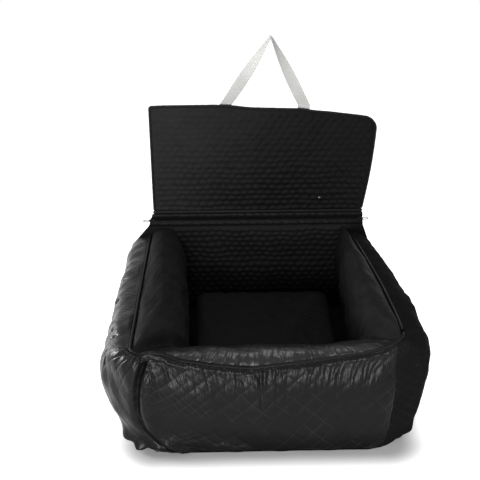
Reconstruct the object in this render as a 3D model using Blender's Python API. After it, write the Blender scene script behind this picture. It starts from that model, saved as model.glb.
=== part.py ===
"""Pet car seat bed: a stuffed three-sided tub with a quilted back flap that zips on and a headrest loop.

Metres, +Z up, -Y is the front. The origin is on the floor below the middle of the tub, X = 0.
Every sewn piece is its own solid: panels, fillings, piping, zip, flap, loop and the loose cushion.
Each long surface is a grid of points, a U-shaped plan outline by a curved section.
"""

import math
from typing import NamedTuple

import bpy
import numpy as np
from mathutils import Matrix, Vector


class Outline(NamedTuple):
    """A U seen from above: half widths, what each side draws in by the back, front and corner."""

    left: float
    right: float
    left_taper: float
    right_taper: float
    front: float
    corner: float


# Sewn sheets and the clearance that neighbouring pieces keep
GAP = 0.0003
PANEL_THICK = 0.003
PIPING_RADIUS = 0.003
BASE_THICK = 0.004
BACK_THICK = 0.004
LINING_THICK = 0.0015

# Tub in plan at its fullest height: reach from the middle, corner, and what each side draws in at the back
BACK_Y = 0.238
TUB_LEFT = 0.328
TUB_RIGHT = 0.311
TUB_FRONT = 0.302
TUB_CORNER = 0.120
LEFT_TAPER = 0.017
RIGHT_TAPER = 0.034
SHOULDER_FULLNESS = 0.012

# How far the foot, the piped ridge, the inner face and its foot lie inside that reach
FOOT_INSET_LEFT = 0.053
FOOT_INSET_RIGHT = 0.041
FOOT_INSET_FRONT = 0.010
FOOT_CORNER = 0.090
FOOT_LEFT_TAPER = 0.016
FOOT_RIGHT_TAPER = 0.022
RIDGE_INSET_LEFT = 0.065
RIDGE_INSET_RIGHT = 0.069
RIDGE_INSET_FRONT = 0.030
RIDGE_CORNER = 0.026
RIDGE_LEFT_TAPER = 0.005
RIDGE_RIGHT_TAPER = 0.027
FACE_INSET_LEFT = 0.167
FACE_INSET_RIGHT = 0.136
FACE_INSET_FRONT = 0.131
INNER_CORNER = 0.020
FACE_OPENING_LEFT = 0.016
FACE_OPENING_RIGHT = 0.020
FLOOR_SPREAD = 0.015
FLOOR_SPREAD_FRONT = 0.019
CREST_INSET = 0.025
CREST_LIFT = 0.040
FACE_LIFT = 0.022

# Height of the piped ridge
RIDGE_BACK_HEIGHT = 0.205
LEFT_CLIMB = 0.011
RIGHT_CLIMB = 0.033
FRONT_SAG = 0.048
SAG_SKEW = 0.85
SAG_POWER = 1.6
SHOULDER_LIFT = 0.006
FOOT_LIFT = 0.022

# How far the front panel wraps into each corner, as a share of the corner's turn
LEFT_WRAP = 0.0
RIGHT_WRAP = 0.5

# Back panel and the zip that carries the flap
BACK_ABOVE_RIDGE = 0.0215
BACK_TOP_LEFT = 0.262
BACK_TOP_RIGHT = 0.246
BACK_FOLLOWS = 0.75
ZIP_TAPE_HEIGHT = 0.013
ZIP_TAPE_THICK = 0.0012
COIL_HEIGHT = 0.0024
COIL_DEPTH = 0.0026
COIL_GAP = 0.0012
FOLD_RADIUS = 0.0042

# Zip sliders and their pulls
SLIDER_LENGTH = 0.010
SLIDER_HEIGHT = 0.0082
SLIDER_PLATE = 0.0012
SLIDER_INSET = 0.009
NECK_LENGTH = 0.003
NECK_HEIGHT = 0.0006
EAR_THICK = 0.0009
EAR_DEPTH = 0.0022
EAR_LENGTH = 0.004
PULL_LENGTH = 0.022
PULL_THICK = 0.0014

# Flap above the fold
FLAP_LEFT = 0.250
FLAP_FOOT_RIGHT = 0.243
FLAP_TOP_RIGHT = 0.264
FLAP_HEIGHT = 0.2515
FLAP_THICK = 0.005
FLAP_DROOP = 0.030
DROOP_END = 0.8
BINDING_RADIUS = 0.004
FLAP_LEFT_CORNER = 0.010
FLAP_RIGHT_CORNER = 0.028
STUD_RADIUS = 0.0035
STUD_HEIGHT = 0.002
STUD_ROUNDING = 0.85
STUD_FROM_RIGHT = 0.104
STUD_RISE = 0.034

# Headrest loop of flat webbing
WEBBING_WIDTH = 0.025
WEBBING_THICK = 0.0016
LOOP_SPAN = 0.175
LOOP_CENTRE = 0.0085
LOOP_RISE = 0.151
LOOP_LEAN = 0.010
LOOP_TURN_RADIUS = 0.009
LOOP_TURN_DEPTH = 0.0144
LOOP_FLAT_SHARE = 0.25
SEWN_END_LENGTH = 0.045

# Loose cushion on the floor of the tub
CUSHION_THICK = 0.068
CUSHION_SIDE_GAP = 0.006
CUSHION_BACK_GAP = 0.008
CUSHION_COVER = 0.0025
CUSHION_SEAM_SHARE = 0.45
CUSHION_CROWN = 0.006
CUSHION_DRAW_IN = 0.005
CUSHION_CORNER_ROUND = 0.03
CUSHION_SQUARENESS = 8
CUSHION_UNDER_FULLNESS = 1.2

# Mesh density
SIDE_CELLS = 7
CORNER_CELLS = 5
FRONT_CELLS = 10
SECTION_CELLS = 8
CUSHION_CELLS = 12

# Seams of the outer panels and mitres of the bolsters, as values of t round the U
LEFT_SEAM = 2 - LEFT_WRAP
RIGHT_SEAM = 3 + RIGHT_WRAP
LEFT_MITRE = 1.5
RIGHT_MITRE = 3.5

# Outlines worked out from the sizes above; the inner ones open towards the back, so their tapers are negative
BULGE = Outline(TUB_LEFT, TUB_RIGHT, LEFT_TAPER, RIGHT_TAPER, TUB_FRONT, TUB_CORNER)
FOOT = Outline(
    TUB_LEFT - FOOT_INSET_LEFT,
    TUB_RIGHT - FOOT_INSET_RIGHT,
    FOOT_LEFT_TAPER,
    FOOT_RIGHT_TAPER,
    TUB_FRONT - FOOT_INSET_FRONT,
    FOOT_CORNER,
)
RIDGE = Outline(
    TUB_LEFT - RIDGE_INSET_LEFT,
    TUB_RIGHT - RIDGE_INSET_RIGHT,
    RIDGE_LEFT_TAPER,
    RIDGE_RIGHT_TAPER,
    TUB_FRONT - RIDGE_INSET_FRONT,
    RIDGE_CORNER,
)
INNER_FACE = Outline(
    TUB_LEFT - FACE_INSET_LEFT,
    TUB_RIGHT - FACE_INSET_RIGHT,
    -FACE_OPENING_LEFT,
    -FACE_OPENING_RIGHT,
    TUB_FRONT - FACE_INSET_FRONT,
    INNER_CORNER,
)
INNER_FOOT = INNER_FACE._replace(
    left=INNER_FACE.left + FLOOR_SPREAD,
    right=INNER_FACE.right + FLOOR_SPREAD,
    front=INNER_FACE.front + FLOOR_SPREAD_FRONT,
)

# Places worked out from the sizes above
PANEL_FOOT_Z = BASE_THICK + GAP
RIDGE_CLEAR = PIPING_RADIUS + 2 * GAP
BACK_HEIGHT = RIDGE_BACK_HEIGHT + BACK_ABOVE_RIDGE
BACK_MIDDLE_Y = BACK_Y + BACK_THICK / 2
LOWER_TAPE_Z = BACK_HEIGHT + GAP
LOWER_COIL_Z = LOWER_TAPE_Z + ZIP_TAPE_HEIGHT + GAP
ZIP_Z = LOWER_COIL_Z + COIL_HEIGHT + COIL_GAP / 2
UPPER_COIL_Z = ZIP_Z + COIL_GAP / 2
UPPER_TAPE_Z = UPPER_COIL_Z + COIL_HEIGHT + GAP
FOLD_Z = UPPER_TAPE_Z + ZIP_TAPE_HEIGHT + GAP + FOLD_RADIUS
FLAP_FOOT_Z = FOLD_Z + FOLD_RADIUS + GAP
FLAP_TOP_Z = FLAP_FOOT_Z + FLAP_HEIGHT
LOOP_AXIS_Z = FLAP_TOP_Z - BINDING_RADIUS
LOOP_FOOT_Z = FLAP_TOP_Z + GAP


def clear_scene():
    for obj in list(bpy.data.objects):
        bpy.data.objects.remove(obj)


def fabric(name, colour, roughness, metallic=0.0):
    material = bpy.data.materials.new(name)
    material.use_nodes = True
    shader = material.node_tree.nodes["Principled BSDF"]
    shader.inputs["Base Color"].default_value = (*colour, 1.0)
    shader.inputs["Roughness"].default_value = roughness
    shader.inputs["Metallic"].default_value = metallic
    material.diffuse_color = (*colour, 1.0)
    return material


def add_object(name, points, faces, material, origin=(0.0, 0.0, 0.0), parent=None, smooth=True):
    """Mesh object from world points, with its own origin at a given world point."""
    mesh = bpy.data.meshes.new(name)
    mesh.from_pydata([tuple(p) for p in np.asarray(points, float).reshape(-1, 3)], [], faces)
    mesh.validate()
    return link_mesh(name, mesh, material, origin, parent, smooth)


def link_mesh(name, mesh, material, origin=(0.0, 0.0, 0.0), parent=None, smooth=True):
    mesh.transform(Matrix.Translation(-Vector(origin)))
    if smooth:
        mesh.shade_smooth()
        mesh.set_sharp_from_angle(angle=math.radians(50))
    mesh.materials.append(material)
    obj = bpy.data.objects.new(name, mesh)
    bpy.context.scene.collection.objects.link(obj)
    obj.location = Vector(origin) - (world_origin(parent) if parent else Vector())
    obj.parent = parent
    return obj


def world_origin(obj):
    """World place of an object that is only moved, never turned, under its parents."""
    place = Vector()
    while obj:
        place += obj.location
        obj = obj.parent
    return place


def plan(t, outline):
    """Plan points of an outline: t is 0..1 up the left side, 1..2 its corner, 2..3 the front, then back."""
    left_drawn = outline.left_taper * (1 - np.clip(t, 0, 1)) ** 1.5
    right_drawn = outline.right_taper * (1 - np.clip(5 - t, 0, 1)) ** 1.5
    run = -outline.front + outline.corner - BACK_Y + GAP
    left_turn = np.clip(t - 1, 0, 1) * math.pi / 2
    right_turn = np.clip(t - 3, 0, 1) * math.pi / 2
    across = outline.left + outline.right - 2 * outline.corner
    x = np.select(
        [t < 1, t < 2, t < 3, t < 4],
        [
            -outline.left + left_drawn,
            -outline.left + outline.corner * (1 - np.cos(left_turn)),
            -outline.left + outline.corner + across * (t - 2),
            outline.right - outline.corner * (1 - np.sin(right_turn)),
        ],
        outline.right - right_drawn,
    )
    y = np.select(
        [t < 1, t < 2, t < 3, t < 4],
        [
            BACK_Y - GAP + run * t,
            -outline.front + outline.corner * (1 - np.sin(left_turn)),
            -outline.front + 0 * t,
            -outline.front + outline.corner * (1 - np.cos(right_turn)),
        ],
        BACK_Y - GAP + run * (5 - t),
    )
    return x, y


def grown(outline, distance):
    """The outline moved outwards by one distance all round."""
    return outline._replace(
        left=outline.left + distance,
        right=outline.right + distance,
        front=outline.front + distance,
        corner=outline.corner + distance,
    )


def mixed(*weighted):
    """Weighted sum of outlines."""
    return Outline(*(sum(w * outline[i] for w, outline in weighted) for i in range(6)))


def ridge_height(t):
    """Height of the piped ridge: it climbs to the front corners and sags across the front."""
    left_climb = np.sin(np.clip(t, 0, 1) * math.pi / 2)
    right_climb = np.sin(np.clip(5 - t, 0, 1) * math.pi / 2)
    left = RIDGE_BACK_HEIGHT + LEFT_CLIMB * left_climb
    right = RIDGE_BACK_HEIGHT + RIGHT_CLIMB * right_climb
    across = np.clip(t - 2, 0, 1)
    front = RIDGE_BACK_HEIGHT + LEFT_CLIMB + (RIGHT_CLIMB - LEFT_CLIMB) * across
    front = front - FRONT_SAG * np.abs(np.sin(across**SAG_SKEW * math.pi)) ** SAG_POWER
    return np.select([t < 2, t < 3], [left, front], right)


def bezier_surface(t, v, outlines, heights):
    """Grid of points: a cubic Bezier section in v between four outlines and heights, carried along t."""
    weights = np.array([(1 - v) ** 3, 3 * v * (1 - v) ** 2, 3 * v**2 * (1 - v), v**3])
    corners = np.array([[*plan(t, o), height + 0 * t] for o, height in zip(outlines, heights)])
    return np.einsum("kv,kct->tvc", weights, corners)


def outer_surface(t, v):
    """Outer side of the tub from its foot, v = 0, over the bulge to the ridge, v = 1."""
    ridge = grown(RIDGE, RIDGE_CLEAR)
    middle = mixed((8 / 6, BULGE), (-1 / 6, FOOT), (-1 / 6, ridge))
    outlines = (FOOT, grown(middle, -SHOULDER_FULLNESS), grown(middle, SHOULDER_FULLNESS), ridge)
    height = ridge_height(t)
    heights = (PANEL_FOOT_Z, PANEL_FOOT_Z + FOOT_LIFT, height + SHOULDER_LIFT, height)
    return bezier_surface(t, v, outlines, heights)


def inner_surface(t, v):
    """Inner side from the ridge, v = 0, over the crest and past the inner face at v = 3/4 to its foot."""
    ridge = grown(RIDGE, -RIDGE_CLEAR)
    crest = grown(ridge, -CREST_INSET)._replace(corner=INNER_FACE.corner)
    face = mixed((64 / 27, INNER_FACE), (-1 / 27, ridge), (-9 / 27, crest), (-1, INNER_FOOT))
    height = ridge_height(t)
    heights = (height, height + CREST_LIFT, height + FACE_LIFT, PANEL_FOOT_Z)
    return bezier_surface(t, v, (ridge, crest, face, INNER_FOOT), heights)


def inset(surface, t, v, distance):
    """The surface's points moved against its normals, which point out of the stuffing."""
    step = 1e-4
    along = surface(np.minimum(t + step, 5), v) - surface(np.maximum(t - step, 0), v)
    across = surface(t, v + step) - surface(t, v - step)
    normal = np.cross(along, across)
    normal /= np.linalg.norm(normal, axis=2, keepdims=True)
    return surface(t, v) - distance * normal


def grid_faces(rows, columns, first=0, flip=False):
    """Triangles of a grid of points, all cells split the same way so that nested sheets stay parallel."""
    faces = []
    for i in range(rows - 1):
        for j in range(columns - 1):
            a = first + i * columns + j
            across = a + columns + 1
            for face in ((a, a + 1, across), (a, across, a + columns)):
                faces.append(face[::-1] if flip else face)
    return faces


def rim_loop(rows, columns):
    """Indices round the edge of a grid, in order."""
    top = [j for j in range(columns)]
    right = [i * columns + columns - 1 for i in range(1, rows)]
    bottom = [(rows - 1) * columns + j for j in range(columns - 2, -1, -1)]
    left = [i * columns for i in range(rows - 2, 0, -1)]
    return top + right + bottom + left


def add_sheet(name, outer, inner, material, **placing):
    """Closed sheet between two grids: the outer one faces along its rows crossed with its columns."""
    rows, columns = outer.shape[:2]
    count = rows * columns
    faces = grid_faces(rows, columns, flip=True) + grid_faces(rows, columns, count)
    loop = rim_loop(rows, columns)
    for a, b in zip(loop, loop[1:] + loop[:1]):
        if a < b:
            faces += [(a, b, b + count), (a, b + count, a + count)]
        else:
            faces += [(a, b, a + count), (b, b + count, a + count)]
    points = np.concatenate([outer.reshape(-1, 3), inner.reshape(-1, 3)])
    return add_object(name, points, faces, material, **placing)


def add_lofted(name, rings, material, **placing):
    """Closed solid from rings of points, each end closed by a fan to its middle."""
    count, sides = rings.shape[:2]
    faces = []
    for i in range(count - 1):
        for j in range(sides):
            k = (j + 1) % sides
            near, across = i * sides + j, (i + 1) * sides + k
            faces.append((near, (i + 1) * sides + j, across))
            faces.append((near, across, i * sides + k))
    start, end = count * sides, count * sides + 1
    for j in range(sides):
        k = (j + 1) % sides
        faces.append((start, j, k))
        faces.append((end, (count - 1) * sides + k, (count - 1) * sides + j))
    middles = np.array([rings[0].mean(axis=0), rings[-1].mean(axis=0)])
    points = np.concatenate([rings.reshape(-1, 3), middles])
    return add_object(name, points, faces, material, **placing)


def add_prism(name, outline, material, axis, start, depth, **placing):
    """Flat outline of (a, b) points pushed along one axis: 'Y' takes (x, z) and 'Z' takes (x, y)."""
    a, b = np.asarray(outline, float).T
    near = np.stack([a, start + 0 * a, b] if axis == "Y" else [a, b, start + 0 * a], axis=1)
    far = near + np.array([0.0, depth, 0.0] if axis == "Y" else [0.0, 0.0, depth])
    turns = np.sum(a * np.roll(b, -1) - np.roll(a, -1) * b) > 0
    count = len(a)
    # Seen along +Y an anticlockwise (x, z) outline faces the viewer at the near side.
    near_face = list(range(count)) if turns == (axis == "Y") else list(range(count))[::-1]
    far_face = [count + i for i in near_face[::-1]]
    faces = [near_face, far_face]
    for i, j in zip(near_face, near_face[1:] + near_face[:1]):
        faces.append((j, i, i + count, j + count))
    return add_object(name, np.concatenate([near, far]), faces, material, **placing)


def box_mesh(name, low, high):
    x0, y0, z0 = low
    x1, y1, z1 = high
    points = [(x0, y0, z0), (x1, y0, z0), (x1, y1, z0), (x0, y1, z0)]
    points += [(x, y, z1) for x, y, _ in points]
    faces = [(3, 2, 1, 0), (4, 5, 6, 7), (0, 1, 5, 4), (1, 2, 6, 5), (2, 3, 7, 6), (3, 0, 4, 7)]
    mesh = bpy.data.meshes.new(name)
    mesh.from_pydata(points, [], faces)
    return mesh


def add_box(name, low, high, material, **placing):
    return link_mesh(name, box_mesh(name, low, high), material, smooth=False, **placing)


def add_tube(name, points, radius, material, sides=4, **placing):
    """Round cord along points: a bevelled curve with closed ends."""
    curve = bpy.data.curves.new(name, "CURVE")
    curve.dimensions = "3D"
    curve.bevel_depth = radius
    curve.bevel_resolution = (sides - 4) // 2 + 1
    curve.use_fill_caps = True
    spline = curve.splines.new("POLY")
    spline.points.add(len(points) - 1)
    origin = placing.get("origin", (0.0, 0.0, 0.0))
    for point, place in zip(spline.points, points):
        point.co = (*(np.asarray(place, float) - origin), 1.0)
    curve.materials.append(material)
    obj = bpy.data.objects.new(name, curve)
    bpy.context.scene.collection.objects.link(obj)
    parent = placing.get("parent")
    obj.location = Vector(origin) - (world_origin(parent) if parent else Vector())
    obj.parent = parent
    return obj


def panel_params(start, end):
    """Values of t from start to end. Each seam and mitre is one, so that nested pieces share facets."""
    cells = {0: SIDE_CELLS, 1: CORNER_CELLS, 2: FRONT_CELLS, 3: CORNER_CELLS, 4: SIDE_CELLS}
    values = {LEFT_MITRE, RIGHT_MITRE, LEFT_SEAM, RIGHT_SEAM}
    for part, count in cells.items():
        values.update(part + k / count for k in range(count + 1))
    return np.array(sorted(v for v in values if start <= v <= end))


def seam_step(surface, t):
    """The change in t that moves a seam edge by the sewing gap at its slowest point."""
    step = 1e-3
    v = np.linspace(0, 1, SECTION_CELLS + 1)
    moved = surface(np.array([t - step, t + step]), v)
    speed = np.linalg.norm(moved[1] - moved[0], axis=1).min() / (2 * step)
    return GAP / speed


def trimmed(surface, start, end):
    """Values of t for a panel or filling, each inner end drawn back by its share of the seam gap."""
    t = panel_params(start, end)
    if start > 0:
        t[0] = start + seam_step(surface, start)
    if end < 5:
        t[-1] = end - seam_step(surface, end)
    return t


def section():
    return np.linspace(0, 1, SECTION_CELLS + 1)


def kept_inside(points):
    """Points held above the base panel and in front of the back panel."""
    points[..., 2] = np.maximum(points[..., 2], PANEL_FOOT_Z)
    points[..., 1] = np.minimum(points[..., 1], BACK_Y - GAP)
    return points


def add_panel(name, surface, start, end, material):
    """Curved fabric panel of the tub between two seams."""
    t = trimmed(surface, start, end)
    v = section()
    return add_sheet(name, surface(t, v), kept_inside(inset(surface, t, v, PANEL_THICK)), material)


def add_filling(name, start, end, material):
    """Stuffing of one bolster: the space between its panels, with a groove below the piping."""
    t = trimmed(inner_surface, start, end)
    depth = PANEL_THICK + GAP
    outside = inset(outer_surface, t, section(), depth)
    inside = inset(inner_surface, t, section(), depth)
    x, y = plan(t, RIDGE)
    groove = np.stack([x, y, ridge_height(t) - PIPING_RADIUS - 2 * GAP], axis=1)[:, None]
    rings = kept_inside(np.concatenate([outside, groove, inside], axis=1))
    return add_lofted(name, rings, material)


def ridge_line(start, end, start_gap=0.0, end_gap=0.0):
    """Points along the piped ridge, drawn back at its seams and square to the back panel."""
    square_run = 0.02
    t = panel_params(start, end)
    t = np.insert(t, [1, -1], [start + square_run, end - square_run])
    x, y = plan(t, RIDGE)
    points = np.stack([x, y, ridge_height(t)], axis=1)
    first = points[1] - points[0]
    last = points[-2] - points[-1]
    points[0] += first / np.linalg.norm(first) * start_gap
    points[-1] += last / np.linalg.norm(last) * end_gap
    run_in = np.array([0.0, PIPING_RADIUS, 0.0])
    if start == 0:
        points = np.insert(points, 1, points[0] - run_in, axis=0)
    if end == 5:
        points = np.insert(points, -1, points[-1] - run_in, axis=0)
    return points


def build_tub(materials):
    """Base, outer and inner panels, fillings and piping of the three bolsters."""
    for name, start, end, material in (
        ("left", 0, LEFT_SEAM, materials["side"]),
        ("front", LEFT_SEAM, RIGHT_SEAM, materials["quilt"]),
        ("right", RIGHT_SEAM, 5, materials["side"]),
    ):
        add_panel(f"{name}_outer_panel", outer_surface, start, end, material)
    for name, start, end in (
        ("left", 0, LEFT_MITRE),
        ("front", LEFT_MITRE, RIGHT_MITRE),
        ("right", RIGHT_MITRE, 5),
    ):
        add_panel(f"{name}_inner_panel", inner_surface, start, end, materials["inner"])
        add_filling(f"{name}_filling", start, end, materials["filling"])
    add_tube("left_piping", ridge_line(0, 2, end_gap=GAP / 2), PIPING_RADIUS, materials["piping"])
    add_tube("front_piping", ridge_line(2, 4, GAP / 2, GAP / 2), PIPING_RADIUS, materials["piping"])
    add_tube("right_piping", ridge_line(4, 5, GAP / 2), PIPING_RADIUS, materials["piping"])
    t = panel_params(0, 5)
    x, y = plan(t, FOOT)
    add_prism("base_panel", np.stack([x, y], axis=1), materials["base"], "Z", 0.0, BASE_THICK)


def back_outline():
    """Back panel from the front: it follows the bolster ends' sections up to a straight top."""
    v = np.linspace(0, BACK_FOLLOWS, SECTION_CELLS - 1)
    left, right = outer_surface(np.array([0.0, 5.0]), v)[..., [0, 2]]
    top = [(-BACK_TOP_LEFT, BACK_HEIGHT), (BACK_TOP_RIGHT, BACK_HEIGHT)]
    return np.concatenate([left, top, right[::-1]])


def build_back(materials):
    """Quilted back panel and its lining, the two zip halves and the rolled fold above them."""
    outline = back_outline()
    add_prism("back_panel", outline, materials["quilt"], "Y", BACK_Y, BACK_THICK)
    lining_y = BACK_Y + BACK_THICK + GAP
    add_prism("back_lining", outline, materials["lining"], "Y", lining_y, LINING_THICK)
    for name, low, height, depth, material in (
        ("zip_tape_lower", LOWER_TAPE_Z, ZIP_TAPE_HEIGHT, ZIP_TAPE_THICK, materials["tape"]),
        ("zip_coil_lower", LOWER_COIL_Z, COIL_HEIGHT, COIL_DEPTH, materials["coil"]),
        ("zip_coil_upper", UPPER_COIL_Z, COIL_HEIGHT, COIL_DEPTH, materials["coil"]),
        ("zip_tape_upper", UPPER_TAPE_Z, ZIP_TAPE_HEIGHT, ZIP_TAPE_THICK, materials["tape"]),
    ):
        near = BACK_MIDDLE_Y - depth / 2
        far = BACK_MIDDLE_Y + depth / 2
        add_box(name, (-BACK_TOP_LEFT, near, low), (BACK_TOP_RIGHT, far, low + height), material)
    ends = [(-BACK_TOP_LEFT, BACK_MIDDLE_Y, FOLD_Z), (BACK_TOP_RIGHT, BACK_MIDDLE_Y, FOLD_Z)]
    add_tube("fold_seam", ends, FOLD_RADIUS, materials["binding"], sides=6)


def build_slider(name, x, outward, materials):
    """Slider clasping the coil: two plates, a neck between the coil halves, ears, and the pull."""
    near = BACK_MIDDLE_Y - COIL_DEPTH / 2 - GAP
    far = BACK_MIDDLE_Y + COIL_DEPTH / 2 + GAP
    half = SLIDER_HEIGHT / 2
    length = SLIDER_LENGTH / 2
    origin = (x, near, ZIP_Z)
    slider = add_box(
        f"{name}_slider",
        (x - length, near - SLIDER_PLATE, ZIP_Z - half),
        (x + length, near, ZIP_Z + half),
        materials["metal"],
        origin=origin,
    )
    plate_face = near - SLIDER_PLATE
    joined = [
        ((x - length, far, ZIP_Z - half), (x + length, far + SLIDER_PLATE, ZIP_Z + half)),
        (
            (x - NECK_LENGTH / 2, near - SLIDER_PLATE / 2, ZIP_Z - NECK_HEIGHT / 2),
            (x + NECK_LENGTH / 2, far + SLIDER_PLATE / 2, ZIP_Z + NECK_HEIGHT / 2),
        ),
    ]
    for low in (ZIP_Z - half, ZIP_Z + half - EAR_THICK):
        joined.append(
            (
                (x - EAR_LENGTH / 2, plate_face - EAR_DEPTH, low),
                (x + EAR_LENGTH / 2, near - SLIDER_PLATE / 2, low + EAR_THICK),
            )
        )
    for index, (low, high) in enumerate(joined):
        helper = add_box(f"{name}_slider_part_{index}", low, high, materials["metal"])
        helper.hide_render = True
        helper.display_type = "WIRE"
        union = slider.modifiers.new("joined", "BOOLEAN")
        union.operation = "UNION"
        union.object = helper
    pivot_y = plate_face - GAP - PULL_THICK / 2
    angle = np.linspace(math.pi / 2, 3 * math.pi / 2, 7)
    nose = np.stack([np.cos(angle), np.sin(angle)], axis=1) * PULL_THICK / 2
    tip = PULL_LENGTH - PULL_THICK / 2
    corners = [(tip, -PULL_THICK / 2), (tip, PULL_THICK / 2)]
    shape = np.concatenate([nose, corners]) * np.array([outward, 1.0]) + np.array([x, pivot_y])
    room = SLIDER_HEIGHT - 2 * EAR_THICK - 2 * GAP
    pull_origin = (x, pivot_y, ZIP_Z)
    low = ZIP_Z - room / 2
    on_slider = {"origin": pull_origin, "parent": slider, "smooth": False}
    add_prism(f"{name}_pull", shape, materials["metal"], "Z", low, room, **on_slider)


def fillet(before, corner, after, reach, count=6):
    """Points of a rounded corner: a quadratic Bezier that starts and ends a reach away from the corner."""
    before, corner, after = (np.asarray(p, float) for p in (before, corner, after))
    start = corner + (before - corner) / np.linalg.norm(before - corner) * reach
    end = corner + (after - corner) / np.linalg.norm(after - corner) * reach
    s = np.linspace(0, 1, count)[:, None]
    return (1 - s) ** 2 * start + 2 * s * (1 - s) * corner + s**2 * end


def flap_edge():
    """Middle line of the flap's rolled edge in (x, z): up the left side, across the top, down the right."""
    left = -FLAP_LEFT + BINDING_RADIUS
    foot_right = FLAP_FOOT_RIGHT - BINDING_RADIUS
    top_right = FLAP_TOP_RIGHT - BINDING_RADIUS
    level_end = LOOP_CENTRE + LOOP_SPAN / 2 + WEBBING_WIDTH
    corner = (top_right, LOOP_AXIS_Z - FLAP_DROOP)
    s = np.linspace(0, DROOP_END, 5)
    drooping = np.stack([level_end + (top_right - level_end) * s, LOOP_AXIS_Z - FLAP_DROOP * s**2], axis=1)
    reach = min(FLAP_RIGHT_CORNER, math.dist(drooping[-1], corner) - GAP)
    left_corner = fillet((left, FLAP_FOOT_Z), (left, LOOP_AXIS_Z), (0.0, LOOP_AXIS_Z), FLAP_LEFT_CORNER)
    right_corner = fillet(drooping[-1], corner, (foot_right, FLAP_FOOT_Z), reach)
    foot = [(foot_right, FLAP_FOOT_Z + BINDING_RADIUS), (foot_right, FLAP_FOOT_Z)]
    return np.concatenate([[(left, FLAP_FOOT_Z)], left_corner, drooping, right_corner, foot])


def moved_inside(line, distance):
    """An open line that turns clockwise, moved towards its inner side by a distance."""
    along = np.gradient(line, axis=0)
    normal = np.stack([along[:, 1], -along[:, 0]], axis=1)
    normal /= np.linalg.norm(normal, axis=1, keepdims=True)
    return line + distance * normal


def build_flap(materials):
    """Quilted flap with its lining, rolled edge, stud and the two sewn ends of the loop."""
    hinge = (0.0, BACK_MIDDLE_Y, FOLD_Z)
    edge = flap_edge()
    inside = moved_inside(edge, BINDING_RADIUS + GAP)
    inside[[0, -1], 1] = FLAP_FOOT_Z
    stack = FLAP_THICK + GAP + LINING_THICK
    front_y = BACK_MIDDLE_Y - stack / 2
    lining_y = front_y + FLAP_THICK + GAP
    quilt = add_prism("flap_quilt", inside, materials["quilt"], "Y", front_y, FLAP_THICK, origin=hinge)
    with_flap = {"origin": hinge, "parent": quilt}
    add_prism("flap_lining", inside, materials["lining"], "Y", lining_y, LINING_THICK, **with_flap)
    rolled = np.stack([edge[:, 0], 0 * edge[:, 0] + BACK_MIDDLE_Y, edge[:, 1]], axis=1)
    add_tube("flap_binding", rolled, BINDING_RADIUS, materials["binding"], **with_flap)
    add_stud(front_y, materials["stud"], with_flap)
    rear_y = lining_y + LINING_THICK + GAP
    top = LOOP_AXIS_Z - BINDING_RADIUS - GAP
    for name, side in (("left", -1), ("right", 1)):
        x = LOOP_CENTRE + side * LOOP_SPAN / 2
        low = (x - WEBBING_WIDTH / 2, rear_y, top - SEWN_END_LENGTH)
        high = (x + WEBBING_WIDTH / 2, rear_y + WEBBING_THICK, top)
        add_box(f"loop_end_{name}", low, high, materials["webbing"], **with_flap)
    return quilt


def add_stud(front_y, material, placing):
    """Small domed stud on the flap's face."""
    x = FLAP_FOOT_RIGHT - STUD_FROM_RIGHT
    z = FOLD_Z + STUD_RISE
    angle = np.linspace(2 * math.pi, 0, 13)[:-1]
    rings = []
    for share in (0.0, 0.45, 0.8, 1.0):
        radius = STUD_RADIUS * math.sqrt(1 - STUD_ROUNDING * share**2)
        y = front_y - GAP - STUD_HEIGHT * share
        ring = [x + radius * np.cos(angle), y + 0 * angle, z + radius * np.sin(angle)]
        rings.append(np.stack(ring, axis=1))
    add_lofted("flap_stud", np.array(rings), material, **placing)


def loop_path(count):
    """Middle line of the loop in (x, z): two leaning legs that meet in a narrow round top."""
    top = np.array([LOOP_CENTRE + LOOP_LEAN, LOOP_FOOT_Z + LOOP_RISE])
    down = np.linspace(0, 1, count)[:, None]
    legs = []
    for side in (-1, 1):
        foot = np.array([LOOP_CENTRE + side * LOOP_SPAN / 2, LOOP_FOOT_Z])
        shoulder = top + (side * LOOP_TURN_RADIUS, -LOOP_TURN_DEPTH)
        legs.append(shoulder + (foot - shoulder) * down)
    left, right = legs
    # The arch's handles run on along the legs, far enough for its middle to reach the top.
    reach = 4 / 3 * LOOP_TURN_DEPTH
    handles = [leg[0] + (leg[0] - leg[-1]) * reach / (leg[0] - leg[-1])[1] for leg in legs]
    s = np.linspace(0, 1, 9)[1:-1, None]
    ends = (1 - s) ** 3 * left[0] + s**3 * right[0]
    arch = ends + 3 * s * (1 - s) ** 2 * handles[0] + 3 * s**2 * (1 - s) * handles[1]
    return np.concatenate([left[::-1], arch, right])


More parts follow.
